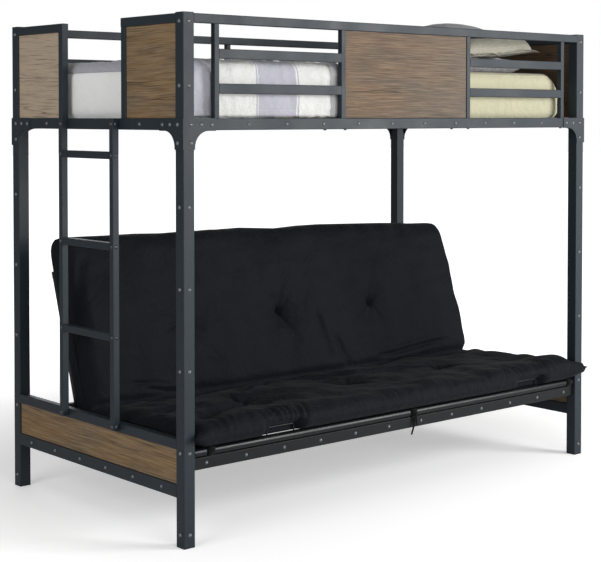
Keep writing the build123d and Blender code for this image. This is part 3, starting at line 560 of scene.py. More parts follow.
def make_crumple() -> Effect:
    """Builds the small soft wrinkles of washed cloth.

    Returns:
        The effect, with its height and its shade.
    """
    inputs = {"Vector": VECTOR, "Size": ("NodeSocketFloat", 12.0)}
    effect = Effect("crumple", inputs, ("Height", "Shade"))
    graph, source, target = effect.start()
    broad = graph.noise(source.outputs[0], source.outputs[1], 3.0, 0.55)
    ridge = graph.sum("ABSOLUTE", graph.sum("SUBTRACT", broad, 0.5))
    soft = graph.noise(source.outputs[0], graph.sum("MULTIPLY", source.outputs[1], 0.35))
    graph.feed(target.inputs["Height"], graph.sum("ADD", graph.range(ridge, 0.0, 0.2), soft))
    graph.feed(target.inputs["Shade"], soft)
    return effect


TIMBER_GRAIN = make_timber_grain()
POWDER_COAT = make_coat()
PLAIN_WEAVE = make_weave()
CRUMPLE = make_crumple()


@dataclass(frozen=True)
class Finish:
    """What every finish has: a name and a material made once."""

    name: str

    def material(self) -> bpy.types.Material:
        """Gives the material, and makes it the first time.

        Returns:
            The finish's material.
        """
        name = f"{self.name}_finish"
        found = bpy.data.materials.get(name)
        if found is not None:
            return found
        made = bpy.data.materials.new(name)
        made.use_nodes = True
        graph = Graph(made.node_tree)
        shader = graph.add("ShaderNodeBsdfPrincipled")
        graph.add("ShaderNodeOutputMaterial", {"Surface": shader.outputs[0]})
        self.paint(graph, shader)
        return made

    def paint(self, graph: Graph, shader: bpy.types.Node) -> None:
        """Fills in the finish's own colours and relief; each kind of finish has its own."""

    def relief(
        self, graph: Graph, shader: bpy.types.Node, height: object, depth: float, share: float
    ) -> None:
        """Gives the surface its fine relief.

        Args:
            graph: The material's graph.
            shader: The surface shader.
            height: The socket with the height.
            depth: How deep it is, in metres.
            share: How much of it shows.
        """
        bump = graph.add("ShaderNodeBump", {"Strength": share, "Distance": depth, "Height": height})
        graph.feed(shader.inputs["Normal"], bump.outputs[0])


@dataclass(frozen=True)
class SteelFinish(Finish):
    """Painted or bare steel."""

    colour: Colour
    rubbed: Colour
    roughness: Pair
    metallic: float = 0.0
    peel: float = 0.00004
    specular: float = 0.28
    deep_share: float = 0.86
    rubbing: float = 0.35

    def paint(self, graph: Graph, shader: bpy.types.Node) -> None:
        """Paints an even coat with faint patches.

        Args:
            graph: The material's graph.
            shader: The surface shader.
        """
        place = graph.add("ShaderNodeTexCoord").outputs["Object"]
        coat = POWDER_COAT.use(graph, {"Vector": place})
        deep = tuple(self.deep_share * part for part in self.colour)
        even = graph.mix(graph.range(coat.outputs["Tone"], *NOISE_SPAN), deep, self.colour)
        rub = graph.sum("MULTIPLY", coat.outputs["Rub"], self.rubbing)
        graph.feed(shader.inputs["Base Color"], graph.mix(rub, even, self.rubbed))
        rough = graph.range(coat.outputs["Tone"], *NOISE_SPAN, *self.roughness)
        graph.feed(shader.inputs["Roughness"], rough)
        shader.inputs["Metallic"].default_value = self.metallic
        shader.inputs["Specular IOR Level"].default_value = self.specular
        self.relief(graph, shader, coat.outputs["Height"], self.peel, 0.5)


class Grain(Enum):
    """The direction that a board's grain runs in."""

    ALONG_BED = (0.0, 0.0, 0.0)
    ACROSS_BED = (0.0, 0.0, math.pi / 2)


@dataclass(frozen=True)
class TimberFinish(Finish):
    """Weathered board with long grain and cracks."""

    grain: Grain
    # Axis, start, end and strength of a blend towards a second colour; the default strength of 0 leaves the
    # boards as they are.
    tint_band: tuple[int, float, float, float] = (0, 9.0, 10.0, 0.0)
    warm: Colour = linear(136, 107, 70)
    grey: Colour = linear(112, 94, 72)
    pale: Colour = linear(158, 136, 106)
    dark: Colour = linear(60, 45, 30)
    band_colour: Colour = linear(204, 186, 166)
    weathering: Pair = (0.35, 0.65)
    streaking: float = 0.62
    crack_share: float = 0.4
    depth: float = 0.0009

    def paint(self, graph: Graph, shader: bpy.types.Node) -> None:
        """Lays streaks, weathered grey patches, a blend along one axis and cracks over brown.

        Args:
            graph: The material's graph.
            shader: The surface shader.
        """
        place = graph.add("ShaderNodeTexCoord").outputs["Object"]
        along = graph.stretched(place, (1.0, 1.0, 1.0), self.grain.value)
        timber = TIMBER_GRAIN.use(graph, {"Vector": along})
        tone, streak = timber.outputs["Tone"], timber.outputs["Streak"]
        base = graph.mix(graph.range(tone, *self.weathering), self.warm, self.grey)
        # Blends towards a second colour along one axis of the object.
        side, start, end, strength = self.tint_band
        across = graph.add("ShaderNodeSeparateXYZ", {0: place}).outputs[side]
        band_share = graph.sum("MULTIPLY", graph.range(across, start, end), strength)
        base = graph.mix(band_share, base, self.band_colour)
        light = graph.sum("MULTIPLY", graph.range(streak, 0.5, 0.68), self.streaking)
        base = graph.mix(light, base, self.pale)
        shadow = graph.sum("MULTIPLY", graph.range(streak, 0.5, 0.34), self.streaking)
        base = graph.mix(shadow, base, self.dark)
        black = tuple(self.crack_share * part for part in self.dark)
        base = graph.mix(timber.outputs["Crack"], base, black)
        graph.feed(shader.inputs["Base Color"], base)
        graph.feed(shader.inputs["Roughness"], graph.range(streak, *NOISE_SPAN, 0.78, 0.6))
        self.relief(graph, shader, timber.outputs["Height"], self.depth, 0.7)


@dataclass(frozen=True)
class ClothFinish(Finish):
    """Woven cloth with small wrinkles, in one colour."""

    colour: Colour
    threads: float
    fleck: float
    wrinkle_size: float
    wrinkle_depth: float
    sheen: float
    roughness: float
    specular: float = 0.2
    sheen_roughness: float = 0.5
    weave_depth: float = 0.0004

    def body_colour(self, graph: Graph) -> object:
        """Gives the cloth's colour before its threads are shaded; striped cloth has its own."""
        return (*self.colour, 1.0)

    def paint(self, graph: Graph, shader: bpy.types.Node) -> None:
        """Shades the threads and raises the weave and the wrinkles.

        Args:
            graph: The material's graph.
            shader: The surface shader.
        """
        cloth = graph.add("ShaderNodeUVMap", uv_map="cloth").outputs[0]
        place = graph.add("ShaderNodeTexCoord").outputs["Object"]
        weave = PLAIN_WEAVE.use(graph, {"Vector": cloth, "Threads": self.threads})
        crumple = CRUMPLE.use(graph, {"Vector": place, "Size": self.wrinkle_size})
        shade = graph.range(weave.outputs["Fleck"], *NOISE_SPAN, 1 - self.fleck, 1 + self.fleck)
        soft = graph.range(crumple.outputs["Shade"], *NOISE_SPAN, 0.94, 1.05)
        value = graph.sum("MULTIPLY", shade, soft)
        grey = graph.add("ShaderNodeCombineColor", {0: value, 1: value, 2: value}).outputs[0]
        sockets = {0: 1.0, 6: self.body_colour(graph), 7: grey}
        tinted = graph.add("ShaderNodeMix", sockets, data_type="RGBA", blend_type="MULTIPLY")
        graph.feed(shader.inputs["Base Color"], tinted.outputs[2])
        shader.inputs["Roughness"].default_value = self.roughness
        shader.inputs["Specular IOR Level"].default_value = self.specular
        shader.inputs["Sheen Weight"].default_value = self.sheen
        shader.inputs["Sheen Roughness"].default_value = self.sheen_roughness
        woven = {"Strength": 0.35, "Distance": self.weave_depth, "Height": weave.outputs["Height"]}
        fine = graph.add("ShaderNodeBump", woven)
        wrinkled = {"Strength": 0.6, "Distance": self.wrinkle_depth, "Normal": fine.outputs[0]}
        folds = graph.add("ShaderNodeBump", {**wrinkled, "Height": crumple.outputs["Height"]})
        graph.feed(shader.inputs["Normal"], folds.outputs[0])


@dataclass(frozen=True)
class StripedFinish(ClothFinish):
    """Cloth with stripes across the bed, set out by their distance along it."""

    stripes: tuple[tuple[float, Colour], ...] = ()

    def body_colour(self, graph: Graph) -> object:
        """Lays out the stripes.

        Args:
            graph: The material's graph.

        Returns:
            The colour's socket.
        """
        cloth = graph.add("ShaderNodeUVMap", uv_map="cloth").outputs[0]
        along = graph.add("ShaderNodeSeparateXYZ", {0: cloth}).outputs[0]
        first, last = self.stripes[0][0], self.stripes[-1][0]
        share = graph.range(along, first / PER_METRE, last / PER_METRE)
        node = graph.add("ShaderNodeValToRGB", {0: share})
        node.color_ramp.interpolation = "CONSTANT"
        stops = node.color_ramp.elements
        while len(stops) < len(self.stripes):
            stops.new(1.0)
        for stop, (start, colour) in zip(stops, self.stripes):
            stop.position = (start - first) / (last - first)
            stop.color = (*colour, 1.0)
        return node.outputs[0]


SLATE_STEEL = SteelFinish("slate_steel", linear(34, 43, 50), linear(47, 57, 64), (0.42, 0.54))
# Slate steel darkened to paint the shade that the futon's front tube and mattress nose cast on the long
# lower rails.
SHADED_RAIL_STEEL = SteelFinish(
    "shaded_rail_steel", linear(17, 19, 21), linear(28, 31, 34), (0.4, 0.52), specular=0.2
)
BLACK_STEEL = SteelFinish("black_steel", linear(11, 13, 16), linear(21, 24, 27), (0.28, 0.38))
RIVET_STEEL = SteelFinish(
    "rivet_steel", linear(112, 118, 122), linear(146, 151, 155), (0.22, 0.32), metallic=0.45
)
BOLT_STEEL = SteelFinish(
    "bolt_steel", linear(84, 88, 92), linear(130, 133, 137), (0.3, 0.42), metallic=0.7
)
BLACK_PLASTIC = SteelFinish(
    "black_plastic", linear(22, 23, 25), linear(36, 37, 39), (0.5, 0.62), peel=0.0001
)
BOARD_ALONG = TimberFinish(
    "board_along",
    Grain.ALONG_BED,
    tint_band=(0, -0.12, 0.3, 0.65),
    warm=linear(104, 80, 55),
    grey=linear(86, 70, 54),
    pale=linear(132, 110, 82),
    dark=linear(44, 33, 22),
    band_colour=linear(96, 85, 73),
    weathering=(0.4, 0.6),
)
BOARD_ACROSS = TimberFinish("board_across", Grain.ACROSS_BED)
# The left end boards blend towards a much paler colour from y 0 to 0.16 m, so the back panel comes out paler
# than the front one.
BOARD_PALER_BACK = TimberFinish("board_paler_back", Grain.ACROSS_BED, tint_band=(1, 0.0, 0.16, 0.7))
# Boards darkened to paint the shade that the pillows and the upper mattress cast on the inside of the
# headboard.
SHADED_HEAD_BOARD = TimberFinish(
    "shaded_head_board",
    Grain.ACROSS_BED,
    warm=linear(78, 57, 36),
    grey=linear(66, 50, 36),
    pale=linear(100, 78, 54),
    dark=linear(38, 27, 18),
)

# Cloths: name, colour, threads, fleck, wrinkle size and depth, sheen, roughness and specular
FUTON_CLOTH = ClothFinish(
    "futon_cotton", linear(9, 13, 19), 700.0, 0.2, 20.0, 0.0035, 0.02, 0.75, 0.14
)
TIE_CLOTH = ClothFinish("tie_cotton", linear(12, 13, 14), 900.0, 0.2, 20.0, 0.001, 0.03, 0.9, 0.1)
TICKING = ClothFinish(
    "mattress_ticking", linear(248, 248, 247), 1100.0, 0.04, 9.0, 0.003, 0.1, 0.8
)
YELLOW_SHEET = ClothFinish(
    "yellow_sheet", linear(184, 181, 154), 1200.0, 0.05, 10.0, 0.005, 0.1, 0.85
)
LILAC_COTTON = ClothFinish(
    "lilac_cotton", linear(192, 190, 194), 1200.0, 0.08, 34.0, 0.006, 0.1, 0.85
)
CREAM_COTTON = ClothFinish(
    "cream_cotton", linear(168, 164, 150), 1200.0, 0.06, 18.0, 0.005, 0.1, 0.85
)
GREY_COTTON = ClothFinish(
    "grey_cotton", linear(140, 142, 146), 1200.0, 0.06, 14.0, 0.005, 0.1, 0.85
)
PIPING_GREY = ClothFinish(
    "futon_piping", linear(16, 18, 21), 2400.0, 0.1, 40.0, 0.0004, 0.03, 0.8, 0.1
)
PALE_THREAD = ClothFinish(
    "pale_thread", linear(226, 224, 216), 3000.0, 0.1, 40.0, 0.0004, 0.1, 0.8
)
LILAC = linear(176, 175, 184)
WHITE = linear(216, 216, 213)
QUILT_STRIPES = (
    (0.0, LILAC), (142.0, WHITE), (317.0, LILAC), (322.0, WHITE), (325.0, LILAC), (488.0, WHITE),
    (495.0, LILAC), (501.0, WHITE), (644.0, LILAC), (649.0, WHITE), (663.0, LILAC), (760.0, LILAC),
)
QUILT = StripedFinish(
    "striped_quilt", (1.0, 1.0, 1.0), 1100.0, 0.12, 15.0, 0.004, 0.1, 0.85, stripes=QUILT_STRIPES
)


def place_object(name: str, data: bpy.types.ID) -> bpy.types.Object:
    """Makes an object of a mesh, lamp or camera and puts it in the scene."""
    made = bpy.data.objects.new(name, data)
    bpy.context.scene.collection.objects.link(made)
    return made


def add_object(name: str, mesh: bpy.types.Mesh, finish: Finish) -> bpy.types.Object:
    """Puts a mesh in the scene with its finish.

    Args:
        name: The piece's name.
        mesh: Its mesh, already in place.
        finish: Its finish.

    Returns:
        The new object.
    """
    mesh.materials.append(finish.material())
    return place_object(name, mesh)


def sewn_mesh(name: str, points: np.ndarray, quads: np.ndarray, flat: np.ndarray) -> bpy.types.Mesh:
    """Makes a smooth mesh with its cloth map, its seams drawn together and its faces outwards.

    Args:
        name: The mesh's name.
        points: Places in metres, one in each row.
        quads: Four point numbers for each face.
        flat: The place on the flat cloth of each corner of each face.

    Returns:
        The mesh.
    """
    mesh = bpy.data.meshes.new(name)
    mesh.from_pydata(points.tolist(), [], quads.tolist())
    layer = mesh.uv_layers.new(name="cloth")
    layer.data.foreach_set("uv", flat.reshape(-1).astype(np.float32))
    work = bmesh.new()
    work.from_mesh(mesh)
    bmesh.ops.remove_doubles(work, verts=work.verts, dist=SEAM_GAP)
    bmesh.ops.dissolve_degenerate(work, edges=work.edges, dist=SLIVER)
    bmesh.ops.recalc_face_normals(work, faces=work.faces)
    for face in work.faces:
        face.smooth = True
    work.to_mesh(mesh)
    work.free()
    return mesh


def quad_mesh(name: str, points: np.ndarray, cloth: np.ndarray) -> bpy.types.Mesh:
    """Joins rows of points, each of which closes on itself, into a skin of quads.

    Args:
        name: The mesh's name.
        points: Rows and columns of places in metres.
        cloth: The same rows and columns of places on the flat cloth, with one more column.

    Returns:
        The mesh.
    """
    rows, columns = points.shape[:2]
    grid = np.arange(rows * columns).reshape(rows, columns)
    low, high = grid[:-1], grid[1:]
    quads, flat = [], []
    for run in range(columns):
        after = (run + 1) % columns
        quads.append(np.stack([low[:, run], high[:, run], high[:, after], low[:, after]], axis=1))
        corners = [cloth[:-1, run], cloth[1:, run], cloth[1:, run + 1], cloth[:-1, run + 1]]
        flat.append(np.stack(corners, axis=1))
    return sewn_mesh(name, points.reshape(-1, 3), np.concatenate(quads), np.concatenate(flat))


@dataclass
class PaddedSection:
    """A padded shape that keeps one side view, with ends that close to a seam."""

    upper: np.ndarray
    lower: np.ndarray
    upper_core: np.ndarray
    lower_core: np.ndarray
    low: float
    high: float
    end_reach: float
    step: float
    busy: tuple[float, ...] = ()

    def grid(self) -> tuple[np.ndarray, np.ndarray, np.ndarray]:
        """Lays out the skin in measured millimetres.

        Returns:
            The places as rows of t, s and z, the cloth map, and how full each row is.
        """
        stations, full = end_steps(self.low, self.high, self.end_reach, self.step, self.busy)
        loop = np.vstack([self.upper, self.lower[-2:0:-1]])
        core = np.vstack([self.upper_core, self.lower_core[-2:0:-1]])
        sides = core[None] + (loop - core)[None] * full[:, None, None]
        t = np.broadcast_to(stations[:, None], sides.shape[:2])
        places = np.concatenate([t[:, :, None], sides], axis=2)
        around = np.vstack([loop, loop[:1]])
        lengths = run_lengths(around)
        cloth = np.stack(np.broadcast_arrays(stations[:, None], lengths[None]), axis=-1) / PER_METRE
        return places, cloth, full

    def outward(self, places: np.ndarray) -> np.ndarray:
        """Gives the direction out of the skin at each place of the grid.

        Args:
            places: The grid's places.

        Returns:
            Unit directions in the same rows and columns.
        """
        ahead = np.roll(places, -1, axis=1) - np.roll(places, 1, axis=1)
        normal = np.zeros_like(places)
        normal[..., 1], normal[..., 2] = -ahead[..., 2], ahead[..., 1]
        return normal / np.maximum(np.linalg.norm(normal, axis=2, keepdims=True), SLIVER)


def freeze(source: bpy.types.Object) -> bpy.types.Object:
    """Turns what an object's modifiers make into its own plain mesh.

    Args:
        source: The object.

    Returns:
        The same object, with no modifiers.
    """
    bpy.context.view_layer.update()
    evaluated = source.evaluated_get(bpy.context.evaluated_depsgraph_get())
    mesh = bpy.data.meshes.new_from_object(evaluated)
    source.modifiers.clear()
    source.data = mesh
    return source


def run_nodes(source: bpy.types.Object, tree: bpy.types.NodeTree, values: dict) -> bpy.types.Object:
    """Runs a Geometry Nodes tree on an object and keeps the result as its mesh.

    Args:
        source: The object that the tree starts from.
        tree: The tree.
        values: Its inputs by name.

    Returns:
        The same object, with the tree's result.
    """
    modifier = source.modifiers.new(tree.name, "NODES")
    modifier.node_group = tree
    for item in tree.interface.items_tree:
        if item.item_type == "SOCKET" and item.in_out == "INPUT" and item.name in values:
            modifier[item.identifier] = values[item.name]
    return freeze(source)


class HeadForm(Enum):
    """The shape of a fastener's head."""

    DOME = "dome"
    HEXAGON = "hexagon"


# A hexagon's and a collar's size as shares of the head's
HEXAGON_SHARE = 0.82
COLLAR_RADIUS_SHARE = 1.12
COLLAR_HEIGHT_SHARE = 0.4

# How many sides round piping has
PIPING_SIDES = 8


def geometry_tree(name: str, inputs: dict[str, str]) -> tuple[Graph, bpy.types.Node, bpy.types.Node]:
    """Starts a Geometry Nodes tree with named inputs.

    Args:
        name: The tree's name.
        inputs: Socket types by input name.

    Returns:
        The tree's graph, its input node and its output node.
    """
    tree = bpy.data.node_groups.new(name, "GeometryNodeTree")
    tree.interface.new_socket("Geometry", in_out="INPUT", socket_type="NodeSocketGeometry")
    tree.interface.new_socket("Geometry", in_out="OUTPUT", socket_type="NodeSocketGeometry")
    for label, kind in inputs.items():
        tree.interface.new_socket(label, in_out="INPUT", socket_type=kind)
    graph = Graph(tree)
    return graph, graph.add("NodeGroupInput"), graph.add("NodeGroupOutput")


def finish_tree(
    graph: Graph, source: bpy.types.Node, target: bpy.types.Node, geometry: bpy.types.NodeSocket
) -> None:
    """Ends a tree with real geometry in its own finish.

    Args:
        graph: The tree's graph.
        source: Its input node, with a Material input.
        target: Its output node.
        geometry: The socket with the instances or mesh.
    """
    real = graph.add("GeometryNodeRealizeInstances", {0: geometry}).outputs[0]
    smooth = graph.add("GeometryNodeSetShadeSmooth", {0: real}).outputs[0]
    sockets = {0: smooth, "Material": source.outputs["Material"]}
    graph.feed(target.inputs[0], graph.add("GeometryNodeSetMaterial", sockets).outputs[0])


def make_heads_tree(form: HeadForm) -> bpy.types.NodeTree:
    """Builds the tree that sets fastener heads on points.

    Args:
        form: The heads' shape.

    Returns:
        The tree, with Radius, Height, Seed and Material inputs.
    """
    number = "NodeSocketFloat"
    inputs = {"Radius": number, "Height": number, "Seed": "NodeSocketInt", "Material": "NodeSocketMaterial"}
    graph, source, target = geometry_tree(f"{form.value}_heads", inputs)
    radius, height = source.outputs["Radius"], source.outputs["Height"]
    if form is HeadForm.DOME:
        solid = graph.add("GeometryNodeMeshUVSphere", {"Segments": 12, "Rings": 8, "Radius": 1.0})
        reach = radius
    else:
        solid = graph.add("GeometryNodeMeshCylinder", {"Vertices": 6, "Radius": 1.0, "Depth": 2.0})
        reach = graph.sum("MULTIPLY", radius, HEXAGON_SHARE)
    size = graph.add("ShaderNodeCombineXYZ", {0: reach, 1: reach, 2: height}).outputs[0]
    head = graph.add("GeometryNodeTransform", {0: solid.outputs[0], "Scale": size}).outputs[0]
    wide = graph.sum("MULTIPLY", radius, COLLAR_RADIUS_SHARE)
    deep = graph.sum("MULTIPLY", height, COLLAR_HEIGHT_SHARE)
    ring = {"Vertices": 18, "Radius": wide, "Depth": deep}
    collar = graph.add("GeometryNodeMeshCylinder", ring).outputs[0]
    joined = graph.add("GeometryNodeJoinGeometry")
    for piece in (collar, head):
        graph.feed(joined.inputs[0], piece)
    facing = graph.add("GeometryNodeInputNamedAttribute", {"Name": "facing"}, data_type="FLOAT_VECTOR")
    turn = graph.add("FunctionNodeAlignRotationToVector", {"Vector": facing.outputs[0]}, axis="Z")
    seed = {"Seed": source.outputs["Seed"], 3: math.tau}
    spin = graph.add("FunctionNodeRandomValue", seed, data_type="FLOAT").outputs[1]
    about = graph.add("ShaderNodeCombineXYZ", {2: spin}).outputs[0]
    spun = graph.add("FunctionNodeEulerToRotation", {0: about}).outputs[0]
    turns = {0: turn.outputs[0], 1: spun}
    turned = graph.add("FunctionNodeRotateRotation", turns, rotation_space="LOCAL").outputs[0]
    sockets = {"Points": source.outputs[0], "Instance": joined.outputs[0], "Rotation": turned}
    heads = graph.add("GeometryNodeInstanceOnPoints", sockets)
    finish_tree(graph, source, target, heads.outputs[0])
    return graph.tree


def make_piping_tree() -> bpy.types.NodeTree:
    """Builds the tree that runs a round cord edge along a line.

    Returns:
        The tree, with Radius, Sides and Material inputs.
    """
    inputs = {"Radius": "NodeSocketFloat", "Sides": "NodeSocketInt", "Material": "NodeSocketMaterial"}
    graph, source, target = geometry_tree("edge_piping", inputs)
    line = graph.add("GeometryNodeMeshToCurve", {0: source.outputs[0]}).outputs[0]
    sockets = {"Resolution": source.outputs["Sides"], "Radius": source.outputs["Radius"]}
    ring = graph.add("GeometryNodeCurvePrimitiveCircle", sockets).outputs[0]
    sockets = {"Curve": line, "Profile Curve": ring, "Fill Caps": True}
    tube = graph.add("GeometryNodeCurveToMesh", sockets)
    finish_tree(graph, source, target, tube.outputs[0])
    return graph.tree


def make_stitch_tree() -> bpy.types.NodeTree:
    """Builds the tree that sews a running stitch along a line.

    Returns:
        The tree, with Pitch, Length, Thickness and Material inputs.
    """
    number = "NodeSocketFloat"
    inputs = {"Pitch": number, "Length": number, "Thickness": number, "Material": "NodeSocketMaterial"}
    graph, source, target = geometry_tree("running_stitch", inputs)
    line = graph.add("GeometryNodeMeshToCurve", {0: source.outputs[0]}).outputs[0]
    sockets = {"Curve": line, "Length": source.outputs["Pitch"]}
    steps = graph.add("GeometryNodeResampleCurve", sockets, mode="LENGTH")
    thread = graph.add("GeometryNodeMeshUVSphere", {"Segments": 6, "Rings": 4, "Radius": 0.5}).outputs[0]
    thick = source.outputs["Thickness"]
    size = graph.add("ShaderNodeCombineXYZ", {0: thick, 1: thick, 2: source.outputs["Length"]}).outputs[0]
    stitch = graph.add("GeometryNodeTransform", {0: thread, "Scale": size}).outputs[0]
    points = graph.add("GeometryNodeCurveToPoints", {"Curve": steps.outputs[0]}, mode="EVALUATED")
    sockets = {"Points": points.outputs[0], "Instance": stitch, "Rotation": points.outputs[3]}
    row = graph.add("GeometryNodeInstanceOnPoints", sockets)
    finish_tree(graph, source, target, row.outputs[0])
    return graph.tree


def line_object(name: str, lines: list[np.ndarray], closed: bool, finish: Finish) -> bpy.types.Object:
    """Makes an object of plain edges, for a tree to follow.

    Args:
        name: The object's name.
        lines: Rows of points in metres.
        closed: Whether each line joins up with itself.
        finish: The finish that the result takes.

    Returns:
        The object.
    """
    points, edges = [], []
    for line in lines:
        start = len(points)
        points.extend(line.tolist())
        edges.extend((start + step, start + step + 1) for step in range(len(line) - 1))
        if closed:
            edges.append((start + len(line) - 1, start))
    mesh = bpy.data.meshes.new(name)
    mesh.from_pydata(points, edges, [])
    return add_object(name, mesh, finish)


def add_piping(name: str, lines: list[np.ndarray], radius: float, finish: Finish) -> bpy.types.Object:
    """Runs round piping along lines.

    Args:
        name: The piece's name.
        lines: Rows of points in metres.
        radius: The piping's radius.
        finish: Its finish.

    Returns:
        The piece.
    """
    values = {"Radius": radius, "Sides": PIPING_SIDES, "Material": finish.material()}
    return run_nodes(line_object(name, lines, False, finish), make_piping_tree(), values)


@dataclass(frozen=True)
class Stitching:
    """A running stitch in pale thread, with its sizes in metres."""

    pitch: float
    length: float
    thickness: float

    def sew(self, name: str, lines: list[np.ndarray], closed: bool) -> bpy.types.Object:
        """Sews along lines.

        Args:
            name: The piece's name.
            lines: Rows of points in metres.
            closed: Whether each line joins up with itself.

        Returns:
            The stitches as one piece.
        """
        values = {"Pitch": self.pitch, "Length": self.length, "Thickness": self.thickness}
        values["Material"] = PALE_THREAD.material()
        return run_nodes(line_object(name, lines, closed, PALE_THREAD), make_stitch_tree(), values)


@dataclass
class Dressing:
    """Finishes of the CAD pieces whose shape is already right."""

    finishes: dict[Finish, tuple[str, ...]]

    def dress(self) -> None:
        """Gives each node its finish."""
        for finish, names in self.finishes.items():
            for name in names:
                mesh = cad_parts[name].data
                mesh.materials.clear()
                mesh.materials.append(finish.material())
                LOG.info("dressed %s in %s", name, finish.name)


@dataclass
class FastenerHeads:
    """Rivet or bolt heads in place of the plain ones of a CAD node."""

    name: str
    node: str
    radius: float
    height: float
    form: HeadForm
    finish: SteelFinish
    slot: str
    seed: int = 4
    rim_share: float = 0.9

    def islands(self) -> list[np.ndarray]:
        """Reads the points of each plain head of the node.

        Returns:
            The points of each head, one in each row.
        """
        work = bmesh.new()
        work.from_mesh(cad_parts[self.node].data)
        bmesh.ops.remove_doubles(work, verts=work.verts, dist=CAD_GAP)
        work.verts.ensure_lookup_table()
        seen: set[int] = set()
        found = []
        for first in work.verts:
            if first.index in seen:
                continue
            waiting, island = [first], []
            seen.add(first.index)
            while waiting:
                vertex = waiting.pop()
                island.append(vertex.co[:])
                for edge in vertex.link_edges:
                    other = edge.other_vert(vertex)
                    if other.index not in seen:
                        seen.add(other.index)
                        waiting.append(other)
            found.append(np.array(island))
        work.free()
        return found

    def places(self) -> tuple[np.ndarray, np.ndarray]:
        """Finds where each head sits and which way it faces.

        Returns:
            The middles of the heads' bases and their directions.
        """
        bases, directions = [], []
        for points in self.islands():
            low, high = points.min(axis=0), points.max(axis=0)
            axis = int(np.argmin(high - low))
            middle = (low + high) / 2
            away = np.linalg.norm(np.delete(points - middle, axis, axis=1), axis=1)
            rim = points[away > self.rim_share * away.max(), axis].mean()
            direction = np.zeros(3)
            direction[axis] = 1.0 if rim < middle[axis] else -1.0
            base = middle.copy()
            base[axis] = low[axis] if rim < middle[axis] else high[axis]
            bases.append(base)
            directions.append(direction)
        return np.array(bases), np.array(directions)

    def build(self) -> bpy.types.Object:
        """Sets a detailed head at each place.

        Returns:
            The heads as one piece.
        """
        bases, directions = self.places()
        mesh = bpy.data.meshes.new(self.name)
        mesh.from_pydata(bases.tolist(), [], [])
        facing = mesh.attributes.new("facing", "FLOAT_VECTOR", "POINT")
        facing.data.foreach_set("vector", directions.astype(np.float32).reshape(-1))
        heads = add_object(self.name, mesh, self.finish)
        values = {"Radius": self.radius, "Height": self.height, "Seed": self.seed}
        values["Material"] = self.finish.material()
        run_nodes(heads, make_heads_tree(self.form), values)
        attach(heads, "frame")
        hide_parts(self.node)
        LOG.info("built %s with %d heads", self.name, len(bases))
        return heads


@dataclass(frozen=True)
class Bunch:
    """A row of short folds that the cloth gathers in over the front tube."""

    centre: float
    count: int
    spread: float
    depth: float
    reach: float
    start: float = -25.0
    wander: float = 9.0
    slant: float = 0.9
    ridge: float = 0.4

    def folds(self, chance: np.random.Generator) -> list[Fold]:
        """Draws the row's folds, which fan out from its middle.

        Args:
            chance: Where the folds' differences come from.

        Returns:
            The folds.
        """
        even = self.centre + self.spread * np.linspace(-0.5, 0.5, self.count)
        made = []
        for t in even + chance.uniform(-self.wander, self.wander, self.count):
            length = self.reach * chance.uniform(0.6, 1.3)
            slant = (t - self.centre) / self.spread * self.slant + chance.uniform(-0.15, 0.15)
            middle, end = (t + slant * length * 0.5, length * 0.5), (t + slant * length, length)
            depth = self.depth * chance.uniform(0.6, 1.2)
            made.append(Fold(((t, self.start), middle, end), depth, chance.uniform(5.5, 8.0), self.ridge))
        return made


def span_share(t: np.ndarray, span: Pair, margin: float, ease: float) -> np.ndarray:
    """Gives 1 over a span of the bed, easing to 0 outside it.

    Args:
        t: Distances along the bed.
        span: Where the span starts and ends.
        margin: How far outside the span the share is 0.
        ease: Over what distance it rises.

    Returns:
        The shares.
    """
    return smooth_step((t - span[0] + margin) / ease) * smooth_step((span[1] + margin - t) / ease)


def on_back(places: np.ndarray) -> tuple[np.ndarray, np.ndarray]:
    """Measures places from the futon back's hinge.

    Args:
        places: Places as t, s and z.

    Returns:
        How far up the back they are, and how far in front of the hinge line.
    """
    away, rise = places[..., 1] - HINGE[0], places[..., 2] - HINGE[1]
    return away * RECLINE_SIN + rise * RECLINE_COS, rise * RECLINE_SIN - away * RECLINE_COS


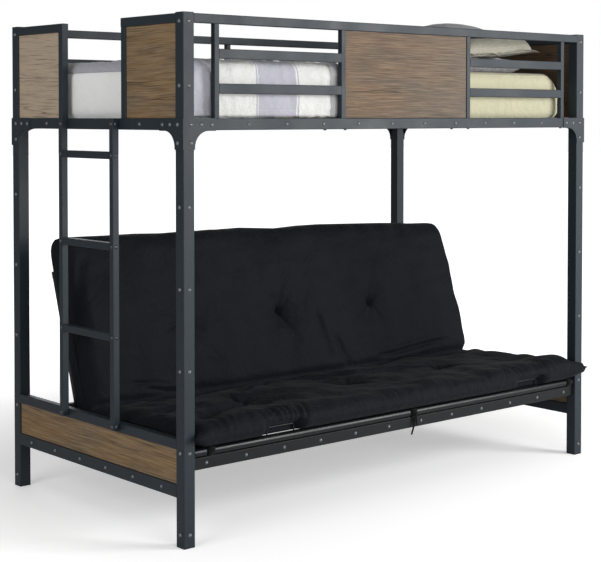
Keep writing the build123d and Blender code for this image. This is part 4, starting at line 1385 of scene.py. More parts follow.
@dataclass
class FutonMattress:
    """One tufted cotton mattress over seat and back, bent at the crease."""

    name: str = "futon_mattress"
    low: float = 47.0
    high: float = 1943.0
    upper_count: int = 216
    lower_count: int = 80
    step: float = 10.0
    end_reach: float = 58.0
    waves: tuple[tuple[int, float, float], ...] = ((5, 420.0, 6.0), (6, 110.0, 2.6))
    tufts: tuple[Tuft, ...] = (
        Tuft(475, 356, 24, 74, 12, 1), Tuft(997, 356, 24, 74, 12, 2), Tuft(1498, 356, 22, 66, 11, 3),
        Tuft(485, 901, 20, 72, 11, 4), Tuft(973, 901, 24, 84, 13, 5), Tuft(1453, 895, 20, 72, 11, 6),
    )
    folds: tuple[Fold, ...] = (
        Fold(
            (
                (540, 452), (694, 553), (796, 586), (922, 588), (1018, 542), (1150, 470),
                (1360, 448), (1540, 380),
            ),
            19, 11, 0.6,
        ),
        Fold(((1400, 663), (1516, 667), (1624, 678), (1729, 687), (1850, 692)), 15, 9, 0.6),
        Fold(((1440, 626), (1573, 633), (1720, 640)), 10, 8, 0.5),
        Fold(((1125, 905), (1141, 817), (1159, 733), (1172, 660)), 11, 14, 0.5),
        Fold(((1200, 790), (1234, 706), (1268, 630)), 10, 12, 0.5),
        Fold(((250, 678), (331, 661), (397, 648), (480, 640)), 16, 9, 0.6),
        Fold(((205, 560), (298, 559), (337, 536), (420, 512)), 16, 10, 0.5),
        Fold(((200, 700), (300, 690), (400, 668)), 10, 8, 0.5),
        Fold(((110, 100), (180, 165), (265, 220), (385, 262), (475, 266), (600, 300)), 24, 26, 0.45),
        Fold(((100, 330), (180, 360), (300, 352), (420, 350)), 13, 16, 0.4),
        Fold(((930, 440), (960, 400), (994, 360)), 12, 8, 0.4),
        Fold(((1000, 352), (1060, 330), (1150, 325)), 6, 9, 0.4),
        Fold(((1040, 120), (1024, 211), (995, 330)), 4, 12, 0.4),
        Fold(((150, 1195), (105, 1130), (78, 1050), (70, 950), (75, 860)), 14, 20, 0.2),
    )
    bunches: tuple[Bunch, ...] = (
        Bunch(160.0, 9, 190.0, 5.0, 85.0),
        Bunch(1850.0, 7, 130.0, 5.0, 85.0),
        Bunch(1010.0, 22, 1000.0, 2.0, 60.0),
    )
    bunch_seed: int = 17
    seam_fades: Pair = (60.0, 50.0)
    crease: Pair = (597.0, 352.0)
    crease_depth: float = 14.0
    crease_width: float = 16.0
    keep_spans: tuple[Pair, ...] = ((351.0, 473.0), (1606.5, 1728.5))
    keep_depth: float = 19.0
    keep_face: float = 27.0
    keep_top: float = 352.0
    crest: tuple[Pair, ...] = (
        (47.0, 10.0), (245.0, 6.0), (377.0, 6.0), (495.0, 1.0), (574.0, 2.0), (761.0, 1.5),
        (879.0, 3.0), (1057.0, -9.0), (1175.0, -4.0), (1293.0, -4.0), (1470.0, -10.0),
        (1648.0, -16.0), (1766.0, -22.0), (1825.0, -28.0), (1943.0, -34.0),
    )
    seat_lift: float = 11.0
    end_length: float = 130.0
    end_fills: tuple[Pair, ...] = ((3.0, 0.3), (13.0, 0.9))
    corner_pulls: Pair = (26.0, 50.0)
    corner_length: float = 95.0
    corner_swell: float = 16.0
    piping_radius: float = 0.0022
    bend: Triple = (984.0, 597.0, 340.0)
    bend_way: Triple = (0.0, 0.37, 0.93)
    bend_reach: float = 0.03

    def section(self) -> PaddedSection:
        """Sets out the side view of the mattress.

        Returns:
            The padded section.
        """
        upper = [
            (-20, 350), (-8, 372), (14, 386), (45, 391), (180, 384), (320, 375), (470, 364),
            (560, 355), (592, 352), leaning(24, 129), leaning(60, 136), leaning(180, 142),
            leaning(318, 141), leaning(450, 138), leaning(560, 132), leaning(598, 122),
            leaning(622, 102), leaning(633, 76),
        ]
        lower = [
            (-20, 350), (-14, 330), (4, 314), (40, 310.2), (180, 310.2), (320, 310.2),
            (470, 310.2), (600, 310.2), (690, 310.4), leaning(14, 13), leaning(60, 13),
            leaning(180, 13), leaning(318, 13), leaning(450, 13), leaning(560, 13),
            leaning(604, 20), leaning(626, 45), leaning(633, 76),
        ]
        core = [
            (-14, 349), (0, 349), (14, 349), (50, 348), (180, 346), (320, 343), (470, 338),
            (575, 334), (628, 331), leaning(26, 78), leaning(60, 74), leaning(180, 75),
            leaning(318, 75), leaning(450, 75), leaning(550, 75), leaning(585, 75),
            leaning(604, 75), leaning(616, 75),
        ]
        return PaddedSection(
            smooth_path(upper, self.upper_count),
            smooth_path(lower, self.lower_count),
            smooth_path(core, self.upper_count),
            smooth_path(core, self.lower_count),
            self.low,
            self.high,
            self.end_reach,
            self.step,
            tuple(tuft.t for tuft in self.tufts[:3]),
        )

    def gathers(self, t: np.ndarray, along: np.ndarray) -> np.ndarray:
        """Bunches the cloth over the front tube, most of all at the keeps and the ends.

        Args:
            t: Distances along the bed.
            along: Distances over the padding from its front seam.

        Returns:
            The depths.
        """
        chance = np.random.default_rng(self.bunch_seed)
        deep = np.zeros_like(t)
        at_keeps = [
            Bunch(centre=(low + high) / 2, count=11, spread=high - low + 40, depth=6.0, reach=120.0)
            for low, high in self.keep_spans
        ]
        for bunch in (*at_keeps, *self.bunches):
            for fold in bunch.folds(chance):
                deep = deep + fold.depth_at(t, along)
        return deep

    def pressed(self, upper: np.ndarray, t: np.ndarray, full: np.ndarray) -> np.ndarray:
        """Works out how far the upper skin is drawn in.

        Args:
            upper: The side view's upper line.
            t: The skin's distances along the bed, in rows and columns.
            full: How full the padding is at each row.

        Returns:
            The depths.
        """
        lengths = run_lengths(upper)
        along = np.broadcast_to(lengths[None], t.shape)
        padding = full[:, None]
        deep = -sum(size * Ripples(seed, pitch).height(t, along) for seed, pitch, size in self.waves)
        for form in (*self.tufts, *self.folds):
            deep += form.depth_at(t, along)
        front, top = self.seam_fades
        deep *= padding * smooth_step(along / front) * smooth_step((lengths[-1] - along) / top)
        deep += self.gathers(t, along) * padding * smooth_step((along + 8.0) / 22.0)
        crease = lengths[int(np.argmin(np.abs(upper - self.crease).sum(axis=1)))]
        deep += self.crease_depth * np.exp(-(((along - crease) / self.crease_width) ** 2)) * padding
        for span in self.keep_spans:
            deep += self.keep_depth * span_share(t, span, 44, 48) * smooth_step(1 - along / 22.0)
        return deep

    def build(self) -> list[bpy.types.Object]:
        """Shapes the mattress and presses in its tufts and folds.

        Returns:
            The mattress and its piping.
        """
        section = self.section()
        places, cloth, full = section.grid()
        skin = slice(None, self.upper_count)
        deep = self.pressed(section.upper, places[:, skin, 0], full)
        places[:, skin] -= section.outward(places)[:, skin] * deep[:, :, None]
        self.raise_crest(places)
        self.press_keeps(places)
        self.pull_corners(places)
        self.fill_ends(places)
        mesh = quad_mesh(self.name, metres(*np.moveaxis(places, 2, 0)), cloth)
        mattress = add_object(self.name, mesh, FUTON_CLOTH)
        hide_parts("futon_seat_mattress", "futon_back_mattress")
        seams = [metres(*places[row, 4 : self.upper_count - 2].T) for row in (0, -1)]
        piping = add_piping("futon_piping", seams, self.piping_radius, PIPING_GREY)
        start = metres(*np.array(self.bend))
        for piece in (mattress, piping):
            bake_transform(piece)
            LOG.info("built %s with %d faces", piece.name, len(piece.data.polygons))
        return [mattress, piping]

    def raise_crest(self, places: np.ndarray) -> None:
        """Lifts or lowers the top of the back by measured amounts, and the seat's far end.

        Args:
            places: The grid's places, changed in place.
        """
        t, s, z = (places[..., axis] for axis in range(3))
        stations, lifts = np.array(self.crest).T
        lift = np.interp(t, stations, lifts) * smooth_step((on_back(places)[0] - 380.0) / 230.0)
        s += lift * RECLINE_SIN
        z += lift * RECLINE_COS
        seat = smooth_step((560.0 - s) / 60.0) * smooth_step((z - 335.0) / 25.0)
        z += self.seat_lift * seat * smooth_step((t - 1760.0) / 130.0)

    def press_keeps(self, places: np.ndarray) -> None:
        """Holds the lower front back behind the wire keeps.

        Args:
            places: The grid's places, changed in place.
        """
        t, s, z = (places[..., axis] for axis in range(3))
        for span in self.keep_spans:
            below = smooth_step((self.keep_top - z) / 10)
            s += span_share(t, span, 34, 34) * below * np.maximum(self.keep_face - s, 0)

    def fill_ends(self, places: np.ndarray) -> None:
        """Fills out the ends of the back, whose rear edges sag over its side tubes.

        Args:
            places: The grid's places, changed in place.
        """
        t = places[..., 0]
        up, out = on_back(places)
        for end, way, (reach, least) in zip((self.low, self.high), (1.0, -1.0), self.end_fills):
            share = np.clip(way * (t - end) / self.end_length, 0, 1)
            far = reach * (0.55 + 0.45 * smooth_step((up - 60.0) / 420.0))
            filled = end + way * ((self.end_length + far) * share**3.2 - far)
            rear = np.maximum(smooth_step((95.0 - out) / 40.0), least)
            rear = rear * smooth_step((up + 10.0) / 60.0)
            t[...] = np.where(share < 1, t + rear * (filled - t), t)

    def pull_corners(self, places: np.ndarray) -> None:
        """Lets the front corners bulge round the posts.

        Args:
            places: The grid's places, changed in place.
        """
        t, s = places[..., 0], places[..., 1]
        for end, way, pull in zip((self.low, self.high), (-1.0, 1.0), self.corner_pulls):
            near = smooth_step(1 - np.abs(t - end) / self.corner_length)
            share = near * smooth_step((0.0 - s) / 10.0)
            s -= self.corner_swell * share
            t += way * pull * share


@dataclass
class UpperMattress:
    """Sprung mattress in its white cover, with a pale yellow sheet over the head half."""

    low: float = 46.0
    high: float = 1925.0
    front: float = 37.0
    back: float = 1027.0
    bottom: float = 1347.4
    top: float = 1536.8
    corner: float = 84.0
    edge: float = 40.0
    split: float = 420.0
    near_edge: tuple[float, ...] = (0.0, 7.0, 14.0, 22.0, 31.0, 40.0, 56.0, 70.0, 84.0)
    lean_reach: float = 200.0
    swell: float = 2.0
    swell_reach: float = 30.0
    piping_inset: float = 13.0
    piping_radius: float = 0.0024

    def spaced(self, low: float, high: float, edges: int, inner: Pair, step: float) -> np.ndarray:
        """Spaces the lines of one direction of the block, closer near both ends.

        Args:
            low: Where the block starts.
            high: Where it ends.
            edges: How many lines each end has.
            inner: How far from each end the wider spacing starts.
            step: The wider spacing.

        Returns:
            The lines' places.
        """
        near = np.array(self.near_edge[:edges])
        middle = np.arange(low + inner[0], high - inner[1], step)
        return np.unique(np.concatenate([low + near, middle, high - near]))

    def cover(self) -> bpy.types.Object:
        """Builds the covered mattress as one closed rounded block.

        Returns:
            The piece.
        """
        mesh = bpy.data.meshes.new("upper_mattress_cover")
        work = bmesh.new()
        columns = self.spaced(self.low, self.high, 9, (100, 90), 20)
        rows = self.spaced(self.front, self.back, 9, (103, 102), 20)
        levels = self.spaced(self.bottom, self.top, 6, (52, 45), 13)
        self.shell(work, columns, rows, levels)
        for vertex in work.verts:
            vertex.co = self.rounded(vertex.co)
        work.to_mesh(mesh)
        work.free()
        self.lay_out(mesh)
        return add_object("upper_mattress_cover", mesh, TICKING)

    def shell(
        self, work: bmesh.types.BMesh, columns: np.ndarray, rows: np.ndarray, levels: np.ndarray
    ) -> None:
        """Makes the six sides of a block of quads, joined at their edges.

        Args:
            work: The mesh to fill.
            columns: Places along the bed.
            rows: Places across it.
            levels: Heights.
        """
        corners: dict[tuple[int, int, int], bmesh.types.BMVert] = {}

        def corner(column: int, row: int, level: int) -> bmesh.types.BMVert:
            """Gives the point at a column, row and level, and makes it once."""
            key = (column, row, level)
            if key not in corners:
                corners[key] = work.verts.new((columns[column], rows[row], levels[level]))
            return corners[key]

        def side(first: int, second: int, flip: bool, at: Callable) -> None:
            """Adds one quad of a side, the other way round where the side faces back."""
            ring = [(first, second), (first + 1, second), (first + 1, second + 1), (first, second + 1)]
            work.faces.new([at(*place) for place in (ring[::-1] if flip else ring)])

        last = (len(columns) - 1, len(rows) - 1, len(levels) - 1)
        for column in range(last[0]):
            for row in range(last[1]):
                for level, flip in ((0, True), (last[2], False)):
                    side(column, row, flip, lambda a, b, c=level: corner(a, b, c))
            for level in range(last[2]):
                for row, flip in ((0, False), (last[1], True)):
                    side(column, level, flip, lambda a, b, c=row: corner(a, c, b))
        for row in range(last[1]):
            for level in range(last[2]):
                for column, flip in ((0, True), (last[0], False)):
                    side(row, level, flip, lambda a, b, c=column: corner(c, a, b))

    def rounded(self, place: Vector) -> Vector:
        """Rounds the corners and edges, and lets the cover swell a little.

        Args:
            place: A point of the square block, in measured millimetres.

        Returns:
            The point's place in metres.
        """
        low = Vector((self.low, self.front, self.bottom))
        high = Vector((self.high, self.back, self.top))
        middle, half = (low + high) / 2, (high - low) / 2
        away = place - middle
        for radius, axes in ((self.edge, range(3)), (self.corner, range(2))):
            over = Vector([max(abs(away[axis]) - (half[axis] - radius), 0.0) for axis in axes])
            if over.length > TINY:
                over *= max(over) / over.length
            for axis in axes:
                inner = min(abs(away[axis]), half[axis] - radius)
                away[axis] = math.copysign(inner + over[axis], away[axis])
        place = middle + away
        head = away.x - half.x + self.lean_reach
        if head > 0:
            place.x -= self.lean_in(place.z) * smooth_step(head / self.lean_reach)
        sag = self.swell * math.sin(place.x / 71.0) * math.sin(place.z / 43.0 + place.x / 190.0)
        share = min(1.0, (1 - abs(away.z) / half.z) * 2)
        if abs(away.y) > half.y - self.swell_reach:
            place.y += math.copysign(share * (sag - self.swell), away.y)
        if abs(away.x) > half.x - self.swell_reach:
            place.x += math.copysign(share * -self.swell, away.x)
        return Vector(metres(*place))

    def lean_in(self, z: float) -> float:
        """Gives how far the head end leans in at a height, towards its top and bottom edges."""
        top = 50.0 * smooth_step((z - 1436.0) / 100.0) ** 1.5
        return float(top + 15.0 * smooth_step((1392.0 - z) / 45.0))

    def lay_out(self, mesh: bpy.types.Mesh) -> None:
        """Gives the cover its cloth map, face by face, and smooth shading.

        Args:
            mesh: The cover's mesh.
        """
        layer = mesh.uv_layers.new(name="cloth")
        for face in mesh.polygons:
            face.use_smooth = True
            normal = face.normal
            axis = max(range(3), key=lambda a: abs(normal[a]))
            across, up = {0: (1, 2), 1: (0, 2), 2: (0, 1)}[axis]
            for loop in face.loop_indices:
                place = mesh.vertices[mesh.loops[loop].vertex_index].co
                layer.data[loop].uv = (place[across], place[up])

    def outline(self, level: float, grow: float) -> np.ndarray:
        """Gives the mattress's rounded plan at a height.

        Args:
            level: The height.
            grow: How far outside the plan it runs.

        Returns:
            Places in metres.
        """
        radius = self.corner + grow
        corners = [
            (self.high - self.corner, self.back - self.corner, 0.0),
            (self.low + self.corner, self.back - self.corner, 90.0),
            (self.low + self.corner, self.front + self.corner, 180.0),
            (self.high - self.corner, self.front + self.corner, 270.0),
        ]
        points = []
        for t, s, start in corners:
            for angle in np.radians(np.linspace(start, start + 90, 10)):
                points.append((t + radius * math.cos(angle), s + radius * math.sin(angle), level))
        return metres(*np.array(points).T)

    def build(self) -> list[bpy.types.Object]:
        """Builds the covered mattress and its piped edges.

        Returns:
            The mattress and its piping.
        """
        mattress = self.cover()
        mattress.data.materials.append(YELLOW_SHEET.material())
        split = (self.split - LEFT_FACE) / PER_METRE
        for face in mattress.data.polygons:
            face.material_index = 1 if face.center.x > split else 0
        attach(mattress, "frame")
        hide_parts("upper_mattress")
        made = [mattress]
        levels = (self.top - self.piping_inset, self.bottom + self.piping_inset)
        foot, head = slice(10, 30), slice(30, 50)
        for name, part, cloth in (("white_piping", foot, TICKING), ("yellow_piping", head, YELLOW_SHEET)):
            edges = [self.edge_line(level, part) for level in levels]
            piping = add_piping(name, edges, self.piping_radius, cloth)
            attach(piping, "frame")
            made.append(piping)
        LOG.info("built %s with %d faces", mattress.name, len(mattress.data.polygons))
        return made

    def edge_line(self, level: float, part: slice) -> np.ndarray:
        """Gives one half of the piped outline, from the split round one end and back to it.

        Args:
            level: The height.
            part: Which points of the outline it takes, counted on past its end.

        Returns:
            Places in metres.
        """
        outline = self.outline(level, -11.0)
        outline[:, 0] -= self.lean_in(level) / PER_METRE * smooth_step((outline[:, 0] - 0.74) / 0.18)
        run = np.concatenate([outline, outline])[part]
        first, last = run[0].copy(), run[-1].copy()
        first[0] = last[0] = (self.split - LEFT_FACE) / PER_METRE
        steps = np.linspace(0, 1, 12)[:, None]
        before = first + (run[0] - first) * steps[:-1]
        after = run[-1] + (last - run[-1]) * steps[1:]
        return np.concatenate([before, run, after])


@dataclass
class Comforter:
    """Striped quilt folded over the mattress at the ladder end, hanging at both sides."""

    low: float = 47.0
    high: float = 703.0
    hem: float = 1362.5
    top: float = 1558.5
    front: float = 25.5
    back: float = 1038.5
    count: int = 110
    waves: tuple[tuple[int, float, float], ...] = ((21, 150.0, 2.2), (22, 42.0, 1.4))
    sink: float = 2.0
    relief: Pair = (-6.0, 2.5)
    droop: float = 26.0
    droop_reach: float = 46.0
    stitching: Stitching = Stitching(0.009, 0.006, 0.0011)
    stitch_lift: float = 0.4

    def section(self) -> PaddedSection:
        """Sets out how the quilt folds over the mattress, seen from its end.

        Returns:
            The padded section.
        """
        outer = [
            (self.front + 2, self.hem), (self.front, 1420), (self.front + 1, 1480), (self.front + 6, 1525),
            (self.front + 28, 1549), (self.front + 90, 1556), (300, self.top), (532, self.top),
            (764, self.top), (self.back - 90, 1556), (self.back - 28, 1549), (self.back - 6, 1525),
            (self.back - 1, 1480), (self.back, 1420), (self.back - 2, self.hem),
        ]
        inner = [
            (36.2, self.hem), (36.2, 1420), (36.2, 1480), (36.4, 1512), (45, 1532), (90, 1538),
            (300, 1538), (532, 1538), (764, 1538), (974, 1538), (1019, 1532), (1027.6, 1512),
            (1027.8, 1480), (1027.8, 1420), (1027.8, self.hem),
        ]
        outer_path, inner_path = (smooth_path(points, self.count) for points in (outer, inner))
        inner_path[0] = outer_path[0]
        inner_path[-1] = outer_path[-1]
        core = (outer_path + inner_path) / 2
        return PaddedSection(outer_path, inner_path, core, core, self.low, self.high, 9.0, 8.0)

    def build(self) -> bpy.types.Object:
        """Lays the quilt over the mattress.

        Returns:
            The comforter.
        """
        section = self.section()
        places, cloth, full = section.grid()
        outward = section.outward(places)
        skin = slice(None, self.count)
        t = places[:, skin, 0]
        along = np.broadcast_to(run_lengths(section.upper)[None], t.shape)
        soft = sum(size * Ripples(seed, pitch).height(t, along) for seed, pitch, size in self.waves)
        soft = np.clip(soft - self.sink, *self.relief) * full[:, None]
        places[:, skin] += outward[:, skin] * soft[:, :, None]
        over = np.clip(1 - (places[..., 0] - self.low) / self.droop_reach, 0, 1) ** 2
        places[..., 2] -= self.droop * over * smooth_step((places[..., 2] - 1490.0) / 40.0)
        mesh = quad_mesh("comforter_quilt", metres(*np.moveaxis(places, 2, 0)), cloth)
        quilt = add_object("comforter_quilt", mesh, QUILT)
        first, last = 2, self.count - 3
        edges = [(-10, slice(first, last + 1)), (slice(9, -9), first), (slice(9, -9), last)]
        hems = [metres(*(places[at] + self.stitch_lift * outward[at]).T) for at in edges]
        stitches = self.stitching.sew("comforter_stitches", hems, False)
        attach(stitches, "frame")
        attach(quilt, "frame")
        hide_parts("comforter")
        LOG.info("built %s with %d faces", quilt.name, len(quilt.data.polygons))
        return quilt


@dataclass
class Pillow:
    """A soft pillow that rests on what is below it, with a flat border where it has one."""

    name: str
    node: str
    slot: str
    finish: ClothFinish
    t: Pair
    s: Pair
    z: Pair
    crown: Triple = (4.0, 4.0, 0.45)
    seam: float = 0.5
    flange: float = 0.0
    hang: Pair = (8.0, 8.0)
    seed: int = 31
    count: int = 64
    border_rows: int = 5
    stitching: Stitching = Stitching(0.007, 0.0045, 0.0009)
    stitch_lift: float = 0.3

    def spread(self, half: float) -> tuple[np.ndarray, np.ndarray, np.ndarray]:
        """Spaces one direction of the pillow, with its border.

        Args:
            half: Half the pillow's size in that direction.

        Returns:
            Places from -1 to 1 over the padding, real distances from the middle, and how far
            out in the border.
        """
        inner = np.sin(np.linspace(-math.pi / 2, math.pi / 2, self.count))
        if not self.flange:
            return inner, inner * half, np.zeros(self.count)
        out = np.linspace(0, 1, self.border_rows + 1)[1:]
        share = np.concatenate([-np.ones(self.border_rows), inner, np.ones(self.border_rows)])
        border = np.concatenate([out[::-1], np.zeros(self.count), out])
        return share, share * (half - self.flange) + np.sign(share) * border * self.flange, border

    def build(self) -> list[bpy.types.Object]:
        """Shapes the pillow from two crowned faces.

        Returns:
            The pillow, and its border's stitches if it has any.
        """
        (u, across, edge_u), (v, over, edge_v) = (self.spread((b - a) / 2) for a, b in (self.t, self.s))
        first, second = u[:, None], v[None, :]
        border = np.maximum(edge_u[:, None], edge_v[None, :])
        first_power, second_power, power = self.crown
        flat = np.clip((1 - np.abs(first) ** first_power) * (1 - np.abs(second) ** second_power), 0, 1)
        waist = 1 - 0.03 * (1 - second**2) * np.abs(first) ** 3
        hollow = 1 - 0.025 * (1 - first**2) * np.abs(second) ** 3
        t = (self.t[0] + self.t[1]) / 2 + across[:, None] * waist
        s = (self.s[0] + self.s[1]) / 2 + over[None, :] * hollow
        t, s = np.broadcast_arrays(t, s)
        middle = self.z[0] + self.seam * (self.z[1] - self.z[0])
        front = smooth_step((-second - 0.35) / 0.65)
        hang = self.hang[0] + (self.hang[1] - self.hang[0]) * smooth_step((first + 1) / 2)
        wave = Ripples(self.seed + 2, 70.0, 5).height(t, 0 * s) * (2.0 + 3.0 * border)
        lie = middle - hang * front + wave * np.maximum(front, border)
        wrinkle = Ripples(self.seed, 90.0).height(t, s) * 2.2
        wrinkle = wrinkle + Ripples(self.seed + 1, 230.0).height(t, s) * 3.0
        puff = flat**power
        thin = 1.1 * (1 - border**2) if self.flange else 0.0 * border
        upper = lie + thin + (self.z[1] - middle) * puff + np.minimum(wrinkle - 2.5, 0) * puff
        lower = lie - thin - (middle - self.z[0]) * puff
        upper = np.minimum(upper, self.z[1])
        lower = np.where(front > 0.3, lower, np.maximum(lower, self.z[0]))
        mesh = self.join(t, s, [(np.maximum(upper, lower), False), (lower, True)])
        pillow = add_object(self.name, mesh, self.finish)
        made = [pillow]
        if self.flange:
            line = np.array([(t[at], s[at], upper[at] + self.stitch_lift) for at in self.hem_ring()])
            made.append(self.stitching.sew(f"{self.name}_stitches", [metres(*line.T)], True))
        for piece in made:
            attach(piece, "frame")
        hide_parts(self.node)
        LOG.info("built %s with %d faces", self.name, len(mesh.polygons))
        return made

    def hem_ring(self) -> list[tuple[int, int]]:
        """Runs once round the padding, two rows inside its border.

        Returns:
            Rows and columns of the pillow's grid.
        """
        first, last = self.border_rows + 2, self.border_rows + self.count - 3
        ring = [(row, first) for row in range(first, last + 1)]
        ring += [(last, column) for column in range(first + 1, last + 1)]
        ring += [(row, last) for row in range(last - 1, first - 1, -1)]
        return ring + [(first, column) for column in range(last - 1, first, -1)]

    def join(self, t: np.ndarray, s: np.ndarray, faces: list[tuple[np.ndarray, bool]]) -> bpy.types.Mesh:
        """Sews the two faces together at their edge.

        Args:
            t: Places along the bed.
            s: Places across it.
            faces: Heights of each face, and whether it looks down.

        Returns:
            The closed mesh.
        """
        size = t.size
        points, quads, flats = [], [], []
        for number, (level, flip) in enumerate(faces):
            grid = np.arange(size).reshape(t.shape) + number * size
            points.append(metres(t, s, level).reshape(-1, 3))
            ring = [grid[:-1, :-1], grid[1:, :-1], grid[1:, 1:], grid[:-1, 1:]]
            cloth = np.stack([t, s], axis=-1) / PER_METRE
            flat = [cloth[:-1, :-1], cloth[1:, :-1], cloth[1:, 1:], cloth[:-1, 1:]]
            if flip:
                ring, flat = ring[::-1], flat[::-1]
            quads.append(np.stack(ring, axis=-1).reshape(-1, 4))
            flats.append(np.stack(flat, axis=2).reshape(-1, 4, 2))
        return sewn_mesh(self.name, np.concatenate(points), np.concatenate(quads), np.concatenate(flats))


@dataclass
class MattressTies:
    """Cloth tapes that tie the futon mattress to the front tube."""

    centres: tuple[float, ...] = (113.0, 1033.5, 1918.0)
    width: float = 31.0
    tube: Pair = (22.0, 294.5)
    radius: float = 15.6
    thickness: float = 1.3
    wrap: Pair = (118.0, 262.0)
    band_steps: int = 19
    tails: tuple[Triple, ...] = ((1037.0, 216.5, -17.0), (1042.0, 243.0, 8.0))
    tail_steps: int = 14
    tail_half: float = 3.9

    def tape(self, path: np.ndarray, across: np.ndarray) -> tuple[np.ndarray, np.ndarray]:
        """Lays out a flat tape along a path.

        Args:
            path: Rows of t, s and z in millimetres.
            across: Half widths as rows in the same directions.

        Returns:
            The grid of places and its cloth map.
        """
        ahead = np.gradient(path, axis=0)
        out = np.cross(across, ahead)
        out = out / np.linalg.norm(out, axis=1, keepdims=True) * self.thickness / 2
        ring = [path - across - out, path + across - out, path + across + out, path - across + out]
        places = np.stack(ring, axis=1)
        ends = (path[:1, None] + 0 * places[:1], path[-1:, None] + 0 * places[-1:])
        places = np.concatenate([ends[0], places, ends[1]])
        lengths = np.arange(len(places)) * 0.004
        cloth = np.stack(np.broadcast_arrays(lengths[:, None], np.linspace(0, 0.08, 5)[None]), axis=-1)
        return places, cloth

    def build(self) -> list[bpy.types.Object]:
        """Wraps the bands round the tube and hangs the two tails.

        Returns:
            The tapes.
        """
        pieces = []
        angles = np.radians(np.linspace(*self.wrap, self.band_steps))
        radius = self.radius + self.thickness / 2
        around = self.tube[0] + radius * np.cos(angles), self.tube[1] + radius * np.sin(angles)
        across = np.tile([self.width / 2, 0, 0], (self.band_steps, 1))
        for number, centre in enumerate(self.centres):
            path = np.stack([np.full(self.band_steps, centre), *around], axis=1)
            pieces.append((f"tie_band_{number + 1}", *self.tape(path, across)))
        drop = np.linspace(0, 1, self.tail_steps)
        for number, (t, end, lean) in enumerate(self.tails):
            height = self.tube[1] + (end - self.tube[1]) * drop
            path = np.stack([t + lean * drop**2, 5.2 - 1.2 * np.sin(drop * 5.0), height], axis=1)
            turn = self.tail_half * np.sin(0.5 * drop) * (number - 0.5)
            half = np.stack([self.tail_half * np.cos(0.5 * drop), turn, 0 * drop], axis=1)
            pieces.append((f"tie_tail_{number + 1}", *self.tape(path, half)))
        made = []
        for name, places, cloth in pieces:
            tie = add_object(name, quad_mesh(name, metres(*np.moveaxis(places, 2, 0)), cloth), TIE_CLOTH)
            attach(tie, "seat")
            made.append(tie)
            LOG.info("built %s", name)
        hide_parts("mattress_ties")
        return made


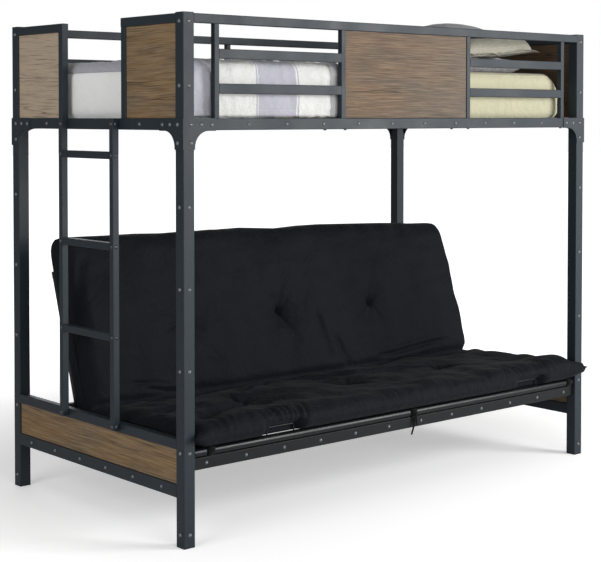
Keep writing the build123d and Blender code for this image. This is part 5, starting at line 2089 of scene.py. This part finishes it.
@dataclass
class Studio:
    """Pale floor, soft lamps and the camera."""

    lens: float = 86.02
    shift: float = -0.2
    place: Triple = (-3.6406, -4.1547, 1.3676)
    azimuth: float = -40.8
    pitch: float = -1.778
    world_strength: float = 0.25

    lamps: tuple[tuple[str, Triple, float, float], ...] = (
        ("key_lamp", (3.0, -4.2, 1.9), 2.4, 225.0),
        ("front_lamp", (-1.5, -5.0, 2.4), 3.0, 85.0),
        ("back_lamp", (1.5, 5.5, 2.8), 3.0, 50.0),
        ("side_lamp", (-5.2, -1.2, 2.4), 3.0, 80.0),
    )
    aim: Triple = (0.0, 0.0, 0.8)
    floor_reach: float = 40.0

    def lamp(self, name: str, place: Triple, size: float, power: float) -> None:
        """Hangs a square soft lamp that looks at the middle of the bed.

        Args:
            name: The lamp's name.
            place: Where it hangs, in metres.
            size: Its side.
            power: Its power in watts.
        """
        light = bpy.data.lights.new(name, "AREA")
        light.shape, light.size, light.energy = "SQUARE", size, power
        lamp = place_object(name, light)
        lamp.location = place
        lamp.rotation_euler = (Vector(self.aim) - Vector(place)).to_track_quat("-Z", "Y").to_euler()

    def floor(self) -> None:
        """Lays a pale floor that keeps the shadow and shows white to the camera."""
        side = self.floor_reach
        mesh = bpy.data.meshes.new("studio_floor")
        corners = [(-side, -side, 0), (side, -side, 0), (side, side, 0), (-side, side, 0)]
        mesh.from_pydata(corners, [], [(0, 1, 2, 3)])
        ground = place_object("studio_floor", mesh)
        material = bpy.data.materials.new("pale_floor")
        material.use_nodes = True
        graph = Graph(material.node_tree)
        seen = graph.add("ShaderNodeLightPath")
        white = graph.sum("MAXIMUM", seen.outputs["Is Camera Ray"], seen.outputs["Is Glossy Ray"])
        shader = graph.add("ShaderNodeBsdfPrincipled")
        graph.feed(shader.inputs["Base Color"], graph.mix(white, (0.6, 0.6, 0.6), (0.97, 0.97, 0.97)))
        shader.inputs["Roughness"].default_value = 0.95
        shader.inputs["Specular IOR Level"].default_value = 0.0
        shader.inputs["Emission Color"].default_value = (1.0, 1.0, 1.0, 1.0)
        place = graph.add("ShaderNodeTexCoord").outputs["Object"]
        away = graph.add("ShaderNodeVectorMath", {0: place}, operation="LENGTH").outputs["Value"]
        glow = graph.sum("MULTIPLY", seen.outputs["Is Camera Ray"], graph.range(away, 1.2, 3.4, 0.3, 1.0))
        graph.feed(shader.inputs["Emission Strength"], glow)
        graph.add("ShaderNodeOutputMaterial", {"Surface": shader.outputs[0]})
        mesh.materials.append(material)

    def world(self) -> None:
        """Surrounds the bed with even light and a white background."""
        world = bpy.data.worlds.new("studio_world")
        bpy.context.scene.world = world
        world.use_nodes = True
        graph = Graph(world.node_tree)
        seen = graph.add("ShaderNodeLightPath")
        plain = graph.add("ShaderNodeBackground", {0: (1.0, 1.0, 1.0, 1.0), 1: self.world_strength})
        white = graph.add("ShaderNodeBackground", {0: (1.0, 1.0, 1.0, 1.0), 1: 1.0})
        either = graph.sum("MAXIMUM", seen.outputs["Is Camera Ray"], seen.outputs["Is Transmission Ray"])
        joined = graph.add("ShaderNodeMixShader", {0: either, 1: plain.outputs[0], 2: white.outputs[0]})
        graph.add("ShaderNodeOutputWorld", {0: joined.outputs[0]})

    def camera(self) -> None:
        """Stands the camera where the photograph was taken from."""
        data = bpy.data.cameras.new("studio_camera")
        data.lens, data.sensor_width, data.sensor_fit = self.lens, 36.0, "HORIZONTAL"
        data.shift_y = self.shift
        data.clip_end = 100.0
        camera = place_object("studio_camera", data)
        camera.location = self.place
        turn = (math.radians(90 + self.pitch), 0.0, math.radians(self.azimuth))
        camera.rotation_euler = Euler(turn, "XYZ")
        bpy.context.scene.camera = camera

    def build(self) -> None:
        """Sets up the whole studio."""
        bpy.context.scene.view_settings.view_transform = "Standard"
        self.floor()
        self.world()
        self.camera()
        for name, place, size, power in self.lamps:
            self.lamp(name, place, size, power)
        LOG.info("studio is ready")


def make_dressing() -> Dressing:
    """Sets out which finish each CAD piece takes.

    Returns:
        The dressing.
    """
    slate = (
        "post_front_left", "post_front_right", "post_back_left", "post_back_right", "post_top_caps",
        "front_top_rail", "back_top_rail", "front_side_rail", "back_side_rail", "end_deck_rails",
        "front_guard_stiles", "back_guard_stiles", "front_guard_bars", "back_guard_bars", "end_top_rails",
        "left_end_stiles", "lower_end_rails", "frame_end_plates", "corner_brackets",
        "deck_ledges", "deck_slats", "deck_centre_rail", "ladder_stiles", "ladder_rungs",
        "seat_runners", "guide_plates",
    )
    black = (
        "seat_front_tube", "seat_side_tubes", "seat_rear_tube", "seat_slats", "seat_centre_tube",
        "mattress_keeps", "back_side_tubes", "back_top_tube", "back_slats", "back_centre_tube",
        "seat_end_plates", "back_end_plates",
    )
    return Dressing(
        {
            SLATE_STEEL: slate,
            # The long lower rails take the steel with painted shade.
            SHADED_RAIL_STEEL: ("long_lower_rails",),
            BLACK_STEEL: black,
            BLACK_PLASTIC: ("post_feet", "seat_glides"),
            BOLT_STEEL: ("guide_spacers", "hinge_pins"),
            BOARD_ALONG: ("guard_panel",),
            BOARD_ACROSS: ("lower_end_panels",),
            # The headboard takes the boards with painted shade.
            SHADED_HEAD_BOARD: ("headboard_panel",),
            # The left end panels take the boards that turn paler towards the back.
            BOARD_PALER_BACK: ("left_end_panels",),
        }
    )


def main() -> None:
    """Dresses the frame and builds every soft and small piece in order."""
    logging.basicConfig(level=logging.INFO, format="%(name)s: %(message)s")
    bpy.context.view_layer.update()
    Studio().build()
    make_dressing().dress()
    for name, node, radius, height, form, finish, slot in (
        ("post_rivet_heads", "post_rivets", 0.0062, 0.0046, HeadForm.DOME, RIVET_STEEL, "rivet_steel"),
        ("bracket_rivet_heads", "bracket_rivets", 0.0062, 0.0046, HeadForm.DOME, RIVET_STEEL, "rivet_steel"),
        ("rail_rivet_heads", "rail_rivets", 0.0056, 0.004, HeadForm.DOME, RIVET_STEEL, "rivet_steel"),
        ("rail_bolt_heads", "rail_bolts", 0.006, 0.0035, HeadForm.HEXAGON, BOLT_STEEL, "bolt_steel"),
        ("ladder_bolt_heads", "ladder_bolts", 0.006, 0.0035, HeadForm.DOME, BOLT_STEEL, "bolt_steel"),
    ):
        heads = FastenerHeads(name, node, radius, height, form, finish, slot)
        heads.build()
    FutonMattress().build()
    MattressTies().build()
    UpperMattress().build()
    Comforter().build()
    for pillow in (
        Pillow(
            "pillow_low", "pillow_lilac", "lilac_cotton", LILAC_COTTON,
            (1320, 1730), (85, 725), (1537.3, 1603.3), crown=(6.0, 9.0, 0.35), seam=0.75,
        ),
        Pillow(
            "pillow_flanged", "pillow_cream", "cream_cotton", CREAM_COTTON,
            (1375, 1800), (66, 734), (1603.6, 1675.6), crown=(12.0, 12.0, 0.38), seam=0.12,
            flange=24.0, hang=(12.0, -13.0), seed=41,
        ),
        Pillow(
            "pillow_top", "pillow_grey", "grey_cotton", GREY_COTTON,
            (1450, 1860), (175, 755), (1675.9, 1748.5), crown=(2.4, 2.1, 1.4), seam=0.25,
            hang=(10.0, 10.0), seed=51,
        ),
    ):
        pillow.build()


if __name__ == "__main__":
    main()
